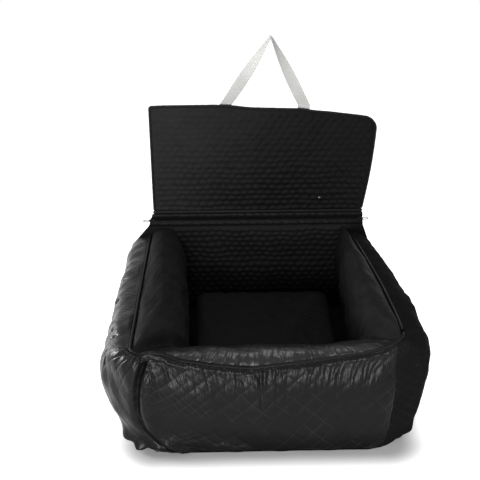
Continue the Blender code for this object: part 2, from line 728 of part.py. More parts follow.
def build_loop(flap, materials):
    """Webbing loop: flat along the flap's edge at its feet, turned edge-on at the top."""
    line = loop_path(12)
    along = np.gradient(line, axis=0)
    along /= np.linalg.norm(along, axis=1, keepdims=True)
    travelled = np.concatenate([[0], np.cumsum(np.linalg.norm(np.diff(line, axis=0), axis=1))])
    share = travelled / travelled[-1]
    from_foot = np.minimum(share, 1 - share) * 2
    turn = math.pi / 2 * np.clip((from_foot - LOOP_FLAT_SHARE) / (1 - LOOP_FLAT_SHARE), 0, 1)
    square = np.stack([-along[:, 1], 0 * turn, along[:, 0]], axis=1)
    lean = 1 / np.abs(along[[0, -1], 1])
    level = np.zeros_like(square)
    level[:, 0] = np.where(share < 0.5, -lean[0], lean[1])
    blend = np.clip(from_foot / LOOP_FLAT_SHARE, 0, 1)[:, None]
    flat_way = square * blend + level * (1 - blend)
    wide = flat_way * np.cos(turn)[:, None] + np.array([0.0, 1.0, 0.0]) * np.sin(turn)[:, None]
    thick = np.cross(wide, np.stack([along[:, 0], 0 * turn, along[:, 1]], axis=1))
    thick /= np.linalg.norm(thick, axis=1, keepdims=True)
    middle = np.stack([line[:, 0], 0 * turn + BACK_MIDDLE_Y, line[:, 1]], axis=1)
    wide *= WEBBING_WIDTH / 2
    thick *= WEBBING_THICK / 2
    edges = [middle + wide + thick, middle - wide + thick, middle - wide - thick, middle + wide - thick]
    rings = np.stack(edges, axis=1)
    rings[[0, -1], :, 2] = LOOP_FOOT_Z
    hinge = (0.0, BACK_MIDDLE_Y, LOOP_AXIS_Z)
    add_lofted("strap_loop", rings, materials["webbing"], origin=hinge, parent=flap)


def cushion_side(inset_by, height, upward, cells=CUSHION_CELLS):
    """Grid of one side of the cushion: drawn in between its corners, falling off to the seam."""
    edge = np.sin(np.linspace(-1, 1, cells + 1) * math.pi / 2)
    a, b = np.meshgrid(edge, edge, indexing="ij")
    left = -INNER_FACE.left + CUSHION_SIDE_GAP
    right = INNER_FACE.right - CUSHION_SIDE_GAP
    front = -INNER_FACE.front + CUSHION_SIDE_GAP
    back = BACK_Y - CUSHION_BACK_GAP
    half_x = (right - left) / 2 - inset_by
    half_y = (back - front) / 2 - inset_by
    rounding_a = 1 - CUSHION_CORNER_ROUND * a**CUSHION_SQUARENESS
    rounding_b = 1 - CUSHION_CORNER_ROUND * b**CUSHION_SQUARENESS
    x = (left + right) / 2 + (half_x - CUSHION_DRAW_IN * (1 - b**2)) * a * rounding_b
    y = (front + back) / 2 + (half_y - CUSHION_DRAW_IN * (1 - a**2)) * b * rounding_a
    full = np.sqrt((1 - a**CUSHION_SQUARENESS) * (1 - b**CUSHION_SQUARENESS))
    seam = PANEL_FOOT_Z + CUSHION_THICK * CUSHION_SEAM_SHARE
    if upward:
        rise = (height - CUSHION_CROWN) * full + CUSHION_CROWN * (1 - a**2) * (1 - b**2)
        return np.stack([x, y, seam + rise], axis=2)
    return np.stack([x, y, seam - height * np.minimum(1, CUSHION_UNDER_FULLNESS * full)], axis=2)


def build_cushion(materials):
    """Loose cushion: top and bottom cover panels sewn at the seam, and the foam between them."""
    below = CUSHION_THICK * CUSHION_SEAM_SHARE
    above = CUSHION_THICK - below
    seam = PANEL_FOOT_Z + below
    origin = ((INNER_FACE.right - INNER_FACE.left) / 2, 0.0, PANEL_FOOT_Z)

    def side(depth, upward):
        grid = cushion_side(depth, (above if upward else below) - depth, upward)
        lowest = seam + GAP / 2 if upward else -np.inf
        highest = np.inf if upward else seam - GAP / 2
        grid[..., 2] = np.clip(grid[..., 2], lowest, highest)
        return grid

    foam_depth = CUSHION_COVER + GAP
    top = (side(0, True), side(CUSHION_COVER, True))
    bottom = (side(CUSHION_COVER, False), side(0, False))
    foam = (side(foam_depth, True), side(foam_depth, False))
    cover = add_sheet("cushion_top", *top, materials["pad"], origin=origin)
    add_sheet("cushion_bottom", *bottom, materials["lining"], origin=origin, parent=cover)
    add_sheet("cushion_foam", *foam, materials["foam"], origin=origin, parent=cover)


def main():
    clear_scene()
    materials = {
        "side": fabric("side_fabric", (0.022, 0.022, 0.024), 0.55),
        "quilt": fabric("quilted_fabric", (0.016, 0.016, 0.018), 0.60),
        "inner": fabric("inner_fabric", (0.013, 0.013, 0.015), 0.85),
        "pad": fabric("cushion_velvet", (0.010, 0.010, 0.012), 0.90),
        "lining": fabric("lining_fabric", (0.020, 0.020, 0.022), 0.75),
        "base": fabric("base_fabric", (0.018, 0.018, 0.018), 0.85),
        "piping": fabric("piping_cord", (0.008, 0.008, 0.010), 0.65),
        "binding": fabric("edge_binding", (0.010, 0.010, 0.012), 0.65),
        "tape": fabric("zip_tape", (0.010, 0.010, 0.012), 0.80),
        "coil": fabric("zip_coil", (0.006, 0.006, 0.007), 0.40),
        "metal": fabric("black_metal", (0.012, 0.012, 0.012), 0.35, metallic=0.6),
        "stud": fabric("bright_metal", (0.62, 0.62, 0.64), 0.25, metallic=1.0),
        "webbing": fabric("grey_webbing", (0.56, 0.56, 0.55), 0.80),
        "filling": fabric("fibre_filling", (0.80, 0.80, 0.78), 0.95),
        "foam": fabric("foam", (0.78, 0.76, 0.66), 0.95),
    }
    build_tub(materials)
    build_back(materials)
    build_slider("left", -BACK_TOP_LEFT + SLIDER_INSET, -1, materials)
    build_slider("right", BACK_TOP_RIGHT - SLIDER_INSET, 1, materials)
    flap = build_flap(materials)
    build_loop(flap, materials)
    build_cushion(materials)


main()
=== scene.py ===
"""Looks of a stuffed car seat bed for pets: quilted and plain black cloth over bolsters, a velvet cushion,
a quilted back flap above a zip, and a loop of pale webbing.

Metres, +Z up, -Y is the front. Each section makes one piece, or one group of like pieces.
"""

import math

import bpy
import numpy as np
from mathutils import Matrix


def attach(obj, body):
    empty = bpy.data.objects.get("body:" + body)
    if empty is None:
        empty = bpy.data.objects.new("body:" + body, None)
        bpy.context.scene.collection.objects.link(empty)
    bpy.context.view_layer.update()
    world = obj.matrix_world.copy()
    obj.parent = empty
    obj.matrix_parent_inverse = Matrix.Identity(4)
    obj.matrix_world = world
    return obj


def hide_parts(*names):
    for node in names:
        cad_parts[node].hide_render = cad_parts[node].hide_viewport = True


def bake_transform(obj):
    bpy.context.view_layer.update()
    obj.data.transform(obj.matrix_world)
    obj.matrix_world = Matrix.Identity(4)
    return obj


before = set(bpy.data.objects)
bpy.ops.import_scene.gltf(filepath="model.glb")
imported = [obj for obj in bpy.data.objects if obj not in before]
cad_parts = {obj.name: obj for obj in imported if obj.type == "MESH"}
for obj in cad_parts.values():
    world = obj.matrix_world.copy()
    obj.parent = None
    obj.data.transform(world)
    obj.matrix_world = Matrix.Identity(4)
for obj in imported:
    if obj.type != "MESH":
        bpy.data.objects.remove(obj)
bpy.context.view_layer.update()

# Camera
# A long lens a step and a half in front of the bed and above its rim, as the photograph was taken.
camera_data = bpy.data.cameras.new("camera")
camera_data.sensor_width = 36.0
camera_data.lens = 62.25
camera = bpy.data.objects.new("camera", camera_data)
camera.location = (-0.096, -1.531, 1.083)
camera.rotation_euler = (math.radians(63.2), 0.0, math.radians(-1.615))
bpy.context.scene.collection.objects.link(camera)
bpy.context.scene.camera = camera
bpy.context.scene.view_settings.view_transform = "Standard"

# Studio
# A plain pale floor and white surroundings, with four soft lamps: a tall one low in front, one on the
# left, one overhead and a weak one on the right.
FLOOR_HALF = 3.0
FLOOR_COLOUR = (0.60, 0.60, 0.60, 1.0)
# Half size of a box under the bed, and how far outside it the floor starts to turn white and is white
FOOTPRINT_HALF = (0.218, 0.268, 0.0)
FLOOR_WHITE_REACH = (0.030, 0.110)
SURROUND_LIGHT = 0.25
# Place, aim, width, height and power of each lamp
LAMPS = {
    "front": ((-0.34, -2.00, 0.42), (-0.05, -0.3, 0.15), 0.42, 0.75, 44.0),
    "side": ((-1.50, 0.50, 0.36), (-0.27, -0.10, 0.13), 0.45, 0.35, 22.0),
    "top": ((-0.25, 0.15, 2.2), (0.0, 0.0, 0.20), 0.60, 0.50, 24.0),
    "fill": ((1.60, -0.60, 0.90), (0.2, 0.0, 0.15), 0.90, 0.90, 9.0),
}


def feed(node, inputs):
    """Gives inputs of a node, by name or number, a value, a socket or another node's first output."""
    for key, value in inputs.items():
        if isinstance(value, bpy.types.Node):
            value = value.outputs[0]
        if isinstance(value, bpy.types.NodeSocket):
            node.id_data.links.new(value, node.inputs[key])
        else:
            node.inputs[key].default_value = value
    return node


def add(tree, kind, inputs, **settings):
    """Adds a shader node of one kind to a tree, with its own settings and its inputs."""
    node = tree.nodes.new("ShaderNode" + kind)
    for setting, value in settings.items():
        setattr(node, setting, value)
    return feed(node, inputs)


def seen_directly(tree):
    """Light Path value that is 1 for camera, glossy and transmission rays: their sum, kept at 1."""
    rays = add(tree, "LightPath", {}).outputs
    first = add(tree, "Math", {0: rays["Is Camera Ray"], 1: rays["Is Glossy Ray"]}, operation="ADD")
    return add(tree, "Math", {0: first, 1: rays["Is Transmission Ray"]}, operation="ADD", use_clamp=True)


world = bpy.data.worlds.new("surround")
bpy.context.scene.world = world
world.use_nodes = True
tree = world.node_tree
tree.nodes.clear()
lighting = add(tree, "Background", {"Strength": SURROUND_LIGHT})
backdrop = add(tree, "Background", {"Color": (1.0, 1.0, 1.0, 1.0), "Strength": 1.0})
surround = add(tree, "MixShader", {0: seen_directly(tree), 1: lighting, 2: backdrop})
add(tree, "OutputWorld", {"Surface": surround})

half = FLOOR_HALF
floor_mesh = bpy.data.meshes.new("floor")
corners = [(-half, -half, 0), (half, -half, 0), (half, half, 0), (-half, half, 0)]
floor_mesh.from_pydata(corners, [], [(0, 1, 2, 3)])
floor = bpy.data.objects.new("floor", floor_mesh)
bpy.context.scene.collection.objects.link(floor)
paint = bpy.data.materials.new("floor_white")
paint.use_nodes = True
tree = paint.node_tree
tree.nodes.clear()
matt = add(tree, "BsdfDiffuse", {"Color": FLOOR_COLOUR})
place = add(tree, "TexCoord", {}).outputs["Object"]
sideways = add(tree, "VectorMath", {0: place}, operation="ABSOLUTE")
outside = add(tree, "VectorMath", {0: sideways, 1: FOOTPRINT_HALF}, operation="SUBTRACT")
outside = add(tree, "VectorMath", {0: outside, 1: (0, 0, 0)}, operation="MAXIMUM")
distance = add(tree, "VectorMath", {0: outside}, operation="LENGTH").outputs["Value"]
near, far = FLOOR_WHITE_REACH
white = add(tree, "MapRange", {0: distance, 1: near, 2: far}, interpolation_type="SMOOTHSTEP")
bright = add(tree, "AddShader", {0: matt, 1: add(tree, "Emission", {"Strength": white})})
seen = add(tree, "MixShader", {0: seen_directly(tree), 1: matt, 2: bright})
add(tree, "OutputMaterial", {"Surface": seen})
floor_mesh.materials.append(paint)

for name, (place, aim, wide, high, power) in LAMPS.items():
    lamp_data = bpy.data.lights.new(name, "AREA")
    lamp_data.shape = "RECTANGLE"
    lamp_data.size = wide
    lamp_data.size_y = high
    lamp_data.energy = power
    lamp = bpy.data.objects.new(name, lamp_data)
    lamp.location = place
    away = np.array(place) - np.array(aim)
    level = math.hypot(away[0], away[1])
    lamp.rotation_euler = (math.atan2(level, away[2]), 0.0, math.atan2(away[1], away[0]) + math.pi / 2)
    bpy.context.scene.collection.objects.link(lamp)

# Outer panels of the bolsters
# Thin quilted polyester, sewn to the base at its foot and to the piping at its top, and blown round by
# the filling. The front one is gathered under the piping; the side ones are pulled into slanting dimples.
GAP = 0.0003
BACK_Y = 0.238
FOOT_Z = 0.0043
PIPING_CLEAR = 0.0036
# Plan outlines: reach to the left and right, how far each side draws in towards the back, reach to the
# front, and radius of the front corners
FOOT = (0.275, 0.270, 0.016, 0.022, 0.292, 0.090)
BULGE = (0.328, 0.311, 0.017, 0.034, 0.302, 0.120)
RIDGE = (0.263, 0.242, 0.005, 0.027, 0.272, 0.026)
DRAW_IN_POWER = 1.5
SHOULDER_FULLNESS = 0.012
SHOULDER_LIFT = 0.006
FOOT_LIFT = 0.022
RIDGE_BACK_Z = 0.205
# Height of the ridge along the front, by X, where the piping wanders up and down
FRONT_RIDGE = (
    (-0.263, 0.215), (-0.245, 0.211), (-0.228, 0.221), (-0.200, 0.215), (-0.175, 0.201), (-0.110, 0.188),
    (-0.040, 0.180), (0.050, 0.191), (0.160, 0.208), (0.206, 0.221), (0.242, 0.238),
)
LEFT_SEAM = 2.0
RIGHT_SEAM = 3.2
# How far the left corner seam strays from its plane, in t, by height share v: it leans back under the
# corner and sweeps forward again at the foot
SEAM_STRAY = (
    (0.0, 0.05), (0.11, -0.05), (0.16, -0.14), (0.23, -0.20), (0.30, -0.255), (0.40, -0.268),
    (0.53, -0.25), (0.62, -0.22), (0.72, -0.185), (0.82, -0.13), (0.95, -0.05), (1.0, 0.0),
)
CLOTH_THICK = 0.002
MESH_STEP = 0.0026
PANEL_STEP = 0.0018
PANEL_ROWS = 106
# Share v of the outer side at which distances round it are measured
OUTER_LEVEL = 0.5
QUILT_WIDE = 0.0195
QUILT_HIGH = 0.0200
QUILT_PUFF = 0.0009
LARGE_PUFF = 0.0010
# How far past the left seam the front's lattice doubles its size
LATTICE_DOUBLES = 0.10
# The raised lips of a crease, as a share of its depth and in times its width
FOLD_LIPS = (0.45, 2.2)
# Gathers of the front: number, and range of width, of depth and of reach down the cloth
GATHERS = 140
GATHER_RANGES = ((0.0014, 0.0036), (0.0005, 0.0022), (0.020, 0.085))
# Depth and width of the crease along the left seam and of the roll of cloth beside it
SEAM_CREASE = (0.012, 0.007)
SEAM_ROLL = (0.006, 0.016)
# How far the front is held in under its piping, and where it is held in most, as a share of its height
HELD_IN = 0.0120
HELD_IN_BELOW = 0.22
PUCKERS = 0.0014
# Lumps of puckered cloth at the foot of the corners: place t, height share v, size and height
KNOTS = (
    (1.42, 0.13, 0.016, 0.014), (1.58, 0.07, 0.014, 0.016), (1.82, 0.08, 0.008, 0.008),
    (1.95, 0.07, 0.006, 0.005), (3.62, 0.12, 0.016, 0.009), (3.45, 0.08, 0.012, 0.006),
)
# Dimples of the left side, along and down the cloth, and their width, length, depth and slope
SIDE_DENTS = (
    (0.13, 0.045), (0.155, 0.05), (0.185, 0.047), (0.205, 0.075), (0.26, 0.06), (0.285, 0.065),
    (0.345, 0.055), (0.37, 0.06), (0.395, 0.05), (0.44, 0.07), (0.46, 0.075),
)
DENT_SIZE = (0.0030, 0.010, 0.0060, 1.45)


def held(value):
    """The value, kept between 0 and 1."""
    return np.clip(value, 0, 1)


def eased(value):
    """The value kept between 0 and 1, with a slow start and end: three squares less two cubes."""
    value = held(value)
    return value * value * (3 - 2 * value)


def bell(distance, width):
    """Gaussian hump, 1 in the middle: e to the minus square of distance over width."""
    return np.exp(-((distance / width) ** 2))


def points_of(*coordinates):
    """Array of points from their coordinates, each an array or one number for all."""
    return np.stack(np.broadcast_arrays(*coordinates), axis=-1)


def unit(vectors):
    """The vectors at length 1."""
    return vectors / np.maximum(np.linalg.norm(vectors, axis=-1, keepdims=True), 1e-12)


def plan(t, outline):
    """U-shaped plan curve: straight up the left side for t 0..1, a quarter circle 1..2, the front 2..3,
    a quarter circle 3..4 and the right side 4..5. The sides draw in by a power of the way to the back."""
    left, right, left_draws, right_draws, front, corner = outline
    run = -front + corner - BACK_Y + GAP
    left_turn = held(t - 1) * math.pi / 2
    right_turn = held(t - 3) * math.pi / 2
    x_parts = [
        -left + left_draws * (1 - held(t)) ** DRAW_IN_POWER,
        -left + corner * (1 - np.cos(left_turn)),
        -left + corner + (left + right - 2 * corner) * (t - 2),
        right - corner * (1 - np.sin(right_turn)),
    ]
    y_parts = [
        BACK_Y - GAP + run * t,
        -front + corner * (1 - np.sin(left_turn)),
        -front,
        -front + corner * (1 - np.cos(right_turn)),
    ]
    sides = [t < 1, t < 2, t < 3, t < 4]
    x = np.select(sides, x_parts, right - right_draws * (1 - held(5 - t)) ** DRAW_IN_POWER)
    y = np.select(sides, y_parts, BACK_Y - GAP + run * (5 - t))
    return x, y


def smooth_through(x, knots, blur=0.012):
    """Soft curve through knots: straight lines between them, averaged over a short width."""
    knots = np.array(knots)
    offsets = np.linspace(-blur, blur, 9)
    weights = 1 + np.cos(offsets / blur * math.pi * 0.9)
    heights = [w * np.interp(x + o, knots[:, 0], knots[:, 1]) for o, w in zip(offsets, weights)]
    return sum(heights) / weights.sum()


def seam_stray(v):
    """How far the left corner seam strays, in t, at height share v."""
    return smooth_through(v, SEAM_STRAY, 0.03)


def ridge_height(t):
    """Height of the piped ridge: a sine climb along each side, and the front's own curve between them."""
    left_end, right_end = FRONT_RIDGE[0][1], FRONT_RIDGE[-1][1]
    left = RIDGE_BACK_Z + (left_end - RIDGE_BACK_Z) * np.sin(held(t / 2) * math.pi / 2)
    right = RIDGE_BACK_Z + (right_end - RIDGE_BACK_Z) * np.sin(held(5 - t) * math.pi / 2)
    front = smooth_through(plan(t, RIDGE)[0], FRONT_RIDGE)
    into_front = held((t - 1.2) / 0.8) ** 2
    return np.where(t < 2, left + (front - left) * into_front, np.where(t < 4, front, right))


def outset(outline, distance):
    """The same plan outline, moved outwards all round."""
    left, right, left_draws, right_draws, front, corner = outline
    return left + distance, right + distance, left_draws, right_draws, front + distance, corner + distance


def bezier(s, points):
    """Cubic Bezier between four points, or four arrays of points, at shares s."""
    weights = ((1 - s) ** 3, 3 * s * (1 - s) ** 2, 3 * s**2 * (1 - s), s**3)
    return sum(weight[..., None] * point for weight, point in zip(weights, points))


def bezier_section(t, v, outlines, heights):
    """Curve in v between four plan curves at four heights, for arrays t and v of one shape."""
    return bezier(v, [points_of(*plan(t, outline), height) for outline, height in zip(outlines, heights)])


def outer_shape(t, v):
    """Smooth outer side of the tub: foot at v = 0, fullest near the middle, ridge at v = 1."""
    ridge = outset(RIDGE, PIPING_CLEAR)
    middle = tuple(8 / 6 * b - f / 6 - r / 6 for b, f, r in zip(BULGE, FOOT, ridge))
    outlines = (FOOT, outset(middle, -SHOULDER_FULLNESS), outset(middle, SHOULDER_FULLNESS), ridge)
    height = ridge_height(t)
    return bezier_section(t, v, outlines, (FOOT_Z, FOOT_Z + FOOT_LIFT, height + SHOULDER_LIFT, height))


def lengths_along(points, axis=0):
    """Distance run along one axis of a line or grid of points, starting from 0."""
    steps = np.linalg.norm(np.diff(points, axis=axis), axis=-1)
    start = np.zeros_like(np.take(steps, [0], axis=axis))
    return np.concatenate([start, np.cumsum(steps, axis=axis)], axis=axis)


def normals_of(points):
    """Unit normals of a grid of points, from the cross product of its two directions."""
    return unit(np.cross(np.gradient(points, axis=0), np.gradient(points, axis=1)))


def swell(a, b, size, seed, waves=7):
    """Smooth random height of about -1 to 1: plane waves near one wavelength, turned at random."""
    random = np.random.default_rng(seed)
    total = 0
    for _ in range(waves):
        angle = random.uniform(0, math.pi)
        length = size * random.uniform(0.7, 1.6)
        phase = random.uniform(0, 2 * math.pi)
        total = total + np.sin(2 * math.pi * (a * math.cos(angle) + b * math.sin(angle)) / length + phase)
    return total / math.sqrt(waves) / 1.4


def diamonds(a, b, wide=QUILT_WIDE, high=QUILT_HIGH):
    """Quilted puffs between two families of slanting stitch lines: root of a product of two sines."""
    one = np.abs(np.sin(math.pi * (a / wide + b / high)))
    two = np.abs(np.sin(math.pi * (a / wide - b / high)))
    return np.sqrt(one * two)


def folds(along, down, creases):
    """Creases that start at down = 0, each a row of place, width, depth, reach and lean: a Gaussian groove
    with raised lips, fading over its reach as it leans away down the cloth."""
    lip_share, lip_width = FOLD_LIPS
    total = np.zeros_like(along)
    for place, width, depth, reach, lean in creases:
        across = along - place - lean * down
        groove = lip_share * bell(across, lip_width * width) - bell(across, width)
        total += depth * bell(down, reach) * groove
    return total


def drawn_folds(random, places, ranges, lean):
    """Rows for folds at the given places: width, depth and reach drawn from their ranges, and lean."""
    drawn = [random.uniform(low, high, len(places)) for low, high in ranges]
    return np.stack([places, *drawn, random.normal(0.0, lean, len(places))], axis=1)


def dents(along, down):
    """Short slanting dimples: Gaussians longer one way than the other, turned by a slope."""
    wide, long, depth, slope = DENT_SIZE
    total = np.zeros_like(along)
    for a, b in SIDE_DENTS:
        p = (along - a) * math.cos(slope) + (down - b) * math.sin(slope)
        q = (down - b) * math.cos(slope) - (along - a) * math.sin(slope)
        total -= depth * bell(p, long) * bell(q, wide)
    return total


def mesh_piece(name, points, quads, uv=None):
    """Object at the origin from an array of points and an array of quads, with a UV map in metres."""
    mesh = bpy.data.meshes.new(name)
    mesh.vertices.add(len(points))
    mesh.vertices.foreach_set("co", np.asarray(points, np.float32).ravel())
    mesh.loops.add(quads.size)
    mesh.loops.foreach_set("vertex_index", quads.astype(np.int32).ravel())
    mesh.polygons.add(len(quads))
    mesh.polygons.foreach_set("loop_start", np.arange(0, quads.size, 4, dtype=np.int32))
    mesh.update(calc_edges=True)
    mesh.shade_smooth()
    if uv is not None:
        layer = mesh.uv_layers.new(name="Cloth")
        layer.data.foreach_set("uv", uv[quads.ravel()].astype(np.float32).ravel())
    piece = bpy.data.objects.new(name, mesh)
    bpy.context.scene.collection.objects.link(piece)
    return piece


def closed_sheet(name, face, back, uv):
    """Sheet of cloth from a front grid and a back grid of the same shape, closed round its rim."""
    rows, columns = face.shape[:2]
    count = rows * columns
    index = np.arange(count).reshape(rows, columns)
    front = np.stack([index[:-1, :-1], index[1:, :-1], index[1:, 1:], index[:-1, 1:]], axis=-1)
    front = front.reshape(-1, 4)
    loop = np.concatenate([index[0], index[1:, -1], index[-1, -2::-1], index[-2:0:-1, 0]])
    after = np.roll(loop, -1)
    rim = np.stack([loop, after, after + count, loop + count], axis=-1)
    quads = np.concatenate([front, front[:, ::-1] + count, rim])
    points = np.concatenate([face.reshape(-1, 3), back.reshape(-1, 3)])
    return mesh_piece(name, points, quads, np.tile(uv.reshape(-1, 2), (2, 1)))


def even_values(shape, start, end, level, step=MESH_STEP):
    """Values of t from start to end, evenly spaced along the surface at one level of v."""
    fine = np.linspace(start, end, 900)
    run = lengths_along(shape(fine, np.full_like(fine, level)))
    return np.interp(np.linspace(0, run[-1], int(run[-1] / step) + 1), run, fine)


def run_round(shape, t, level):
    """Distance round the tub to each t at one level of v, from the left end of the back."""
    fine = np.linspace(0, 5, 1500)
    return np.interp(t, fine, lengths_along(shape(fine, np.full_like(fine, level))))


def kept_in(points, foot=FOOT_Z, back=BACK_Y - GAP):
    """The points, none of them below the foot or behind the back."""
    return np.clip(points, (-np.inf, -np.inf, foot), (np.inf, back, np.inf))


def clothed(shape, relief, t, v, level, side):
    """Front grid, back grid and UV of a panel: a smooth shape, raised by its relief and given the cloth's
    thickness. Side is -1 for an outer panel and 1 for an inner one. UV is the distance round the tub and
    down from the ridge."""
    base = shape(t, v)
    down = lengths_along(base, 1)
    along = run_round(shape, t, level)
    face = base + side * relief(t, v, along, down)[..., None] * normals_of(base)
    back = face - side * CLOTH_THICK * normals_of(face)
    return [grid[::side] for grid in (kept_in(face), kept_in(back), points_of(along, down))]


LEFT_AT, CORNER_AT, RIGHT_AT = run_round(outer_shape, np.array([LEFT_SEAM, 3.0, RIGHT_SEAM]), OUTER_LEVEL)
random = np.random.default_rng(11)
gather_places = LEFT_AT + 0.050 + (CORNER_AT - LEFT_AT - 0.02) * np.sort(random.beta(1.5, 1.9, GATHERS))
front_gathers = drawn_folds(random, gather_places, GATHER_RANGES, 0.10)
front_middle = LEFT_AT + 0.47 * (CORNER_AT - LEFT_AT)
# Long folds of the front and tucks of the left side beside the seam, as rows for folds
long_folds = (
    (front_middle, 0.0045, 0.0085, 0.075, 0.02),
    (front_middle + 0.014, 0.0030, 0.0050, 0.060, -0.05),
    (front_middle - 0.022, 0.0050, 0.0030, 0.050, 0.06),
    (front_middle + 0.050, 0.0045, 0.0030, 0.045, -0.04),
    (LEFT_AT + 0.045, 0.0070, 0.0030, 0.090, -0.30),
    (LEFT_AT - 0.022, 0.0040, 0.0060, 0.060, -0.35),
    (LEFT_AT - 0.045, 0.0035, 0.0050, 0.055, -0.45),
    (LEFT_AT - 0.070, 0.0040, 0.0040, 0.050, -0.50),
    (LEFT_AT - 0.100, 0.0040, 0.0030, 0.050, -0.50),
)


def outer_relief(t, v, along, down):
    """Height of the cloth above the smooth shape: quilting and slow swells, gathers and folds under the
    piping, the left seam's crease and the roll beside it, lumps and puckers at the foot of the corners,
    dimples of the left side, and the front held in under its piping."""
    front = held((t - 1.7) / 0.3) * held((3.6 - t) / 0.3)
    small = diamonds(along, down) * (1 - 0.75 * front * held((along - LEFT_AT - 0.08) / 0.04))
    large = diamonds(along, down, 2 * QUILT_WIDE, 2 * QUILT_HIGH)
    puffs = QUILT_PUFF * (0.45 + 0.25 * front) * small + LARGE_PUFF * front * large
    swells = 0.0028 * swell(along, down * 0.8, 0.11, 3)
    swells = swells + (0.0012 - 0.0007 * front) * swell(along, down, 0.035, 4)
    creases = folds(along, down, front_gathers) + folds(along, down, long_folds)
    total = held(down / 0.010) * (puffs + swells + dents(along, down)) + held(down / 0.004) * creases
    past_seam = along - run_round(outer_shape, LEFT_SEAM + seam_stray(v), OUTER_LEVEL)
    total -= SEAM_CREASE[0] * bell(past_seam, SEAM_CREASE[1]) * held((1.0 - v) / 0.12)
    total += SEAM_ROLL[0] * bell(past_seam - 0.022, SEAM_ROLL[1]) * held((0.85 - v) / 0.3)
    for at, level, size, height in KNOTS:
        place = run_round(outer_shape, at, OUTER_LEVEL)
        total += height * bell(along - place, size) * bell(v - level, size * 3.6)
    at_corners = bell(along - LEFT_AT + 0.03, 0.06) + bell(along - RIGHT_AT, 0.07)
    ripple = np.sin(along / 0.0050 + 2 * swell(along, down, 0.03, 8))
    total += PUCKERS * ripple * bell(v, 0.12) * at_corners
    below = (1.0 - v) / HELD_IN_BELOW
    total -= HELD_IN * front * below * np.exp(1 - below) * held((v - 0.05) / 0.35)
    return held(v / 0.05) * total


def seam_warp(t, v):
    """Moves t near the left corner seam by the seam's stray, fading out over a cosine hump."""
    reach = np.where(t < LEFT_SEAM, 0.8, 0.6)
    hump = 0.5 + 0.5 * np.cos(math.pi * np.clip((t - LEFT_SEAM) / reach, -1, 1))
    return t + hump * seam_stray(v)


def new_material(name):
    """A material, its node tree and its shader."""
    material = bpy.data.materials.new(name)
    material.use_nodes = True
    return material, material.node_tree, material.node_tree.nodes["Principled BSDF"]


# Numbers of a Mix node's two colour inputs and of its colour output
MIX_A, MIX_B, MIX_RESULT = 6, 7, 2


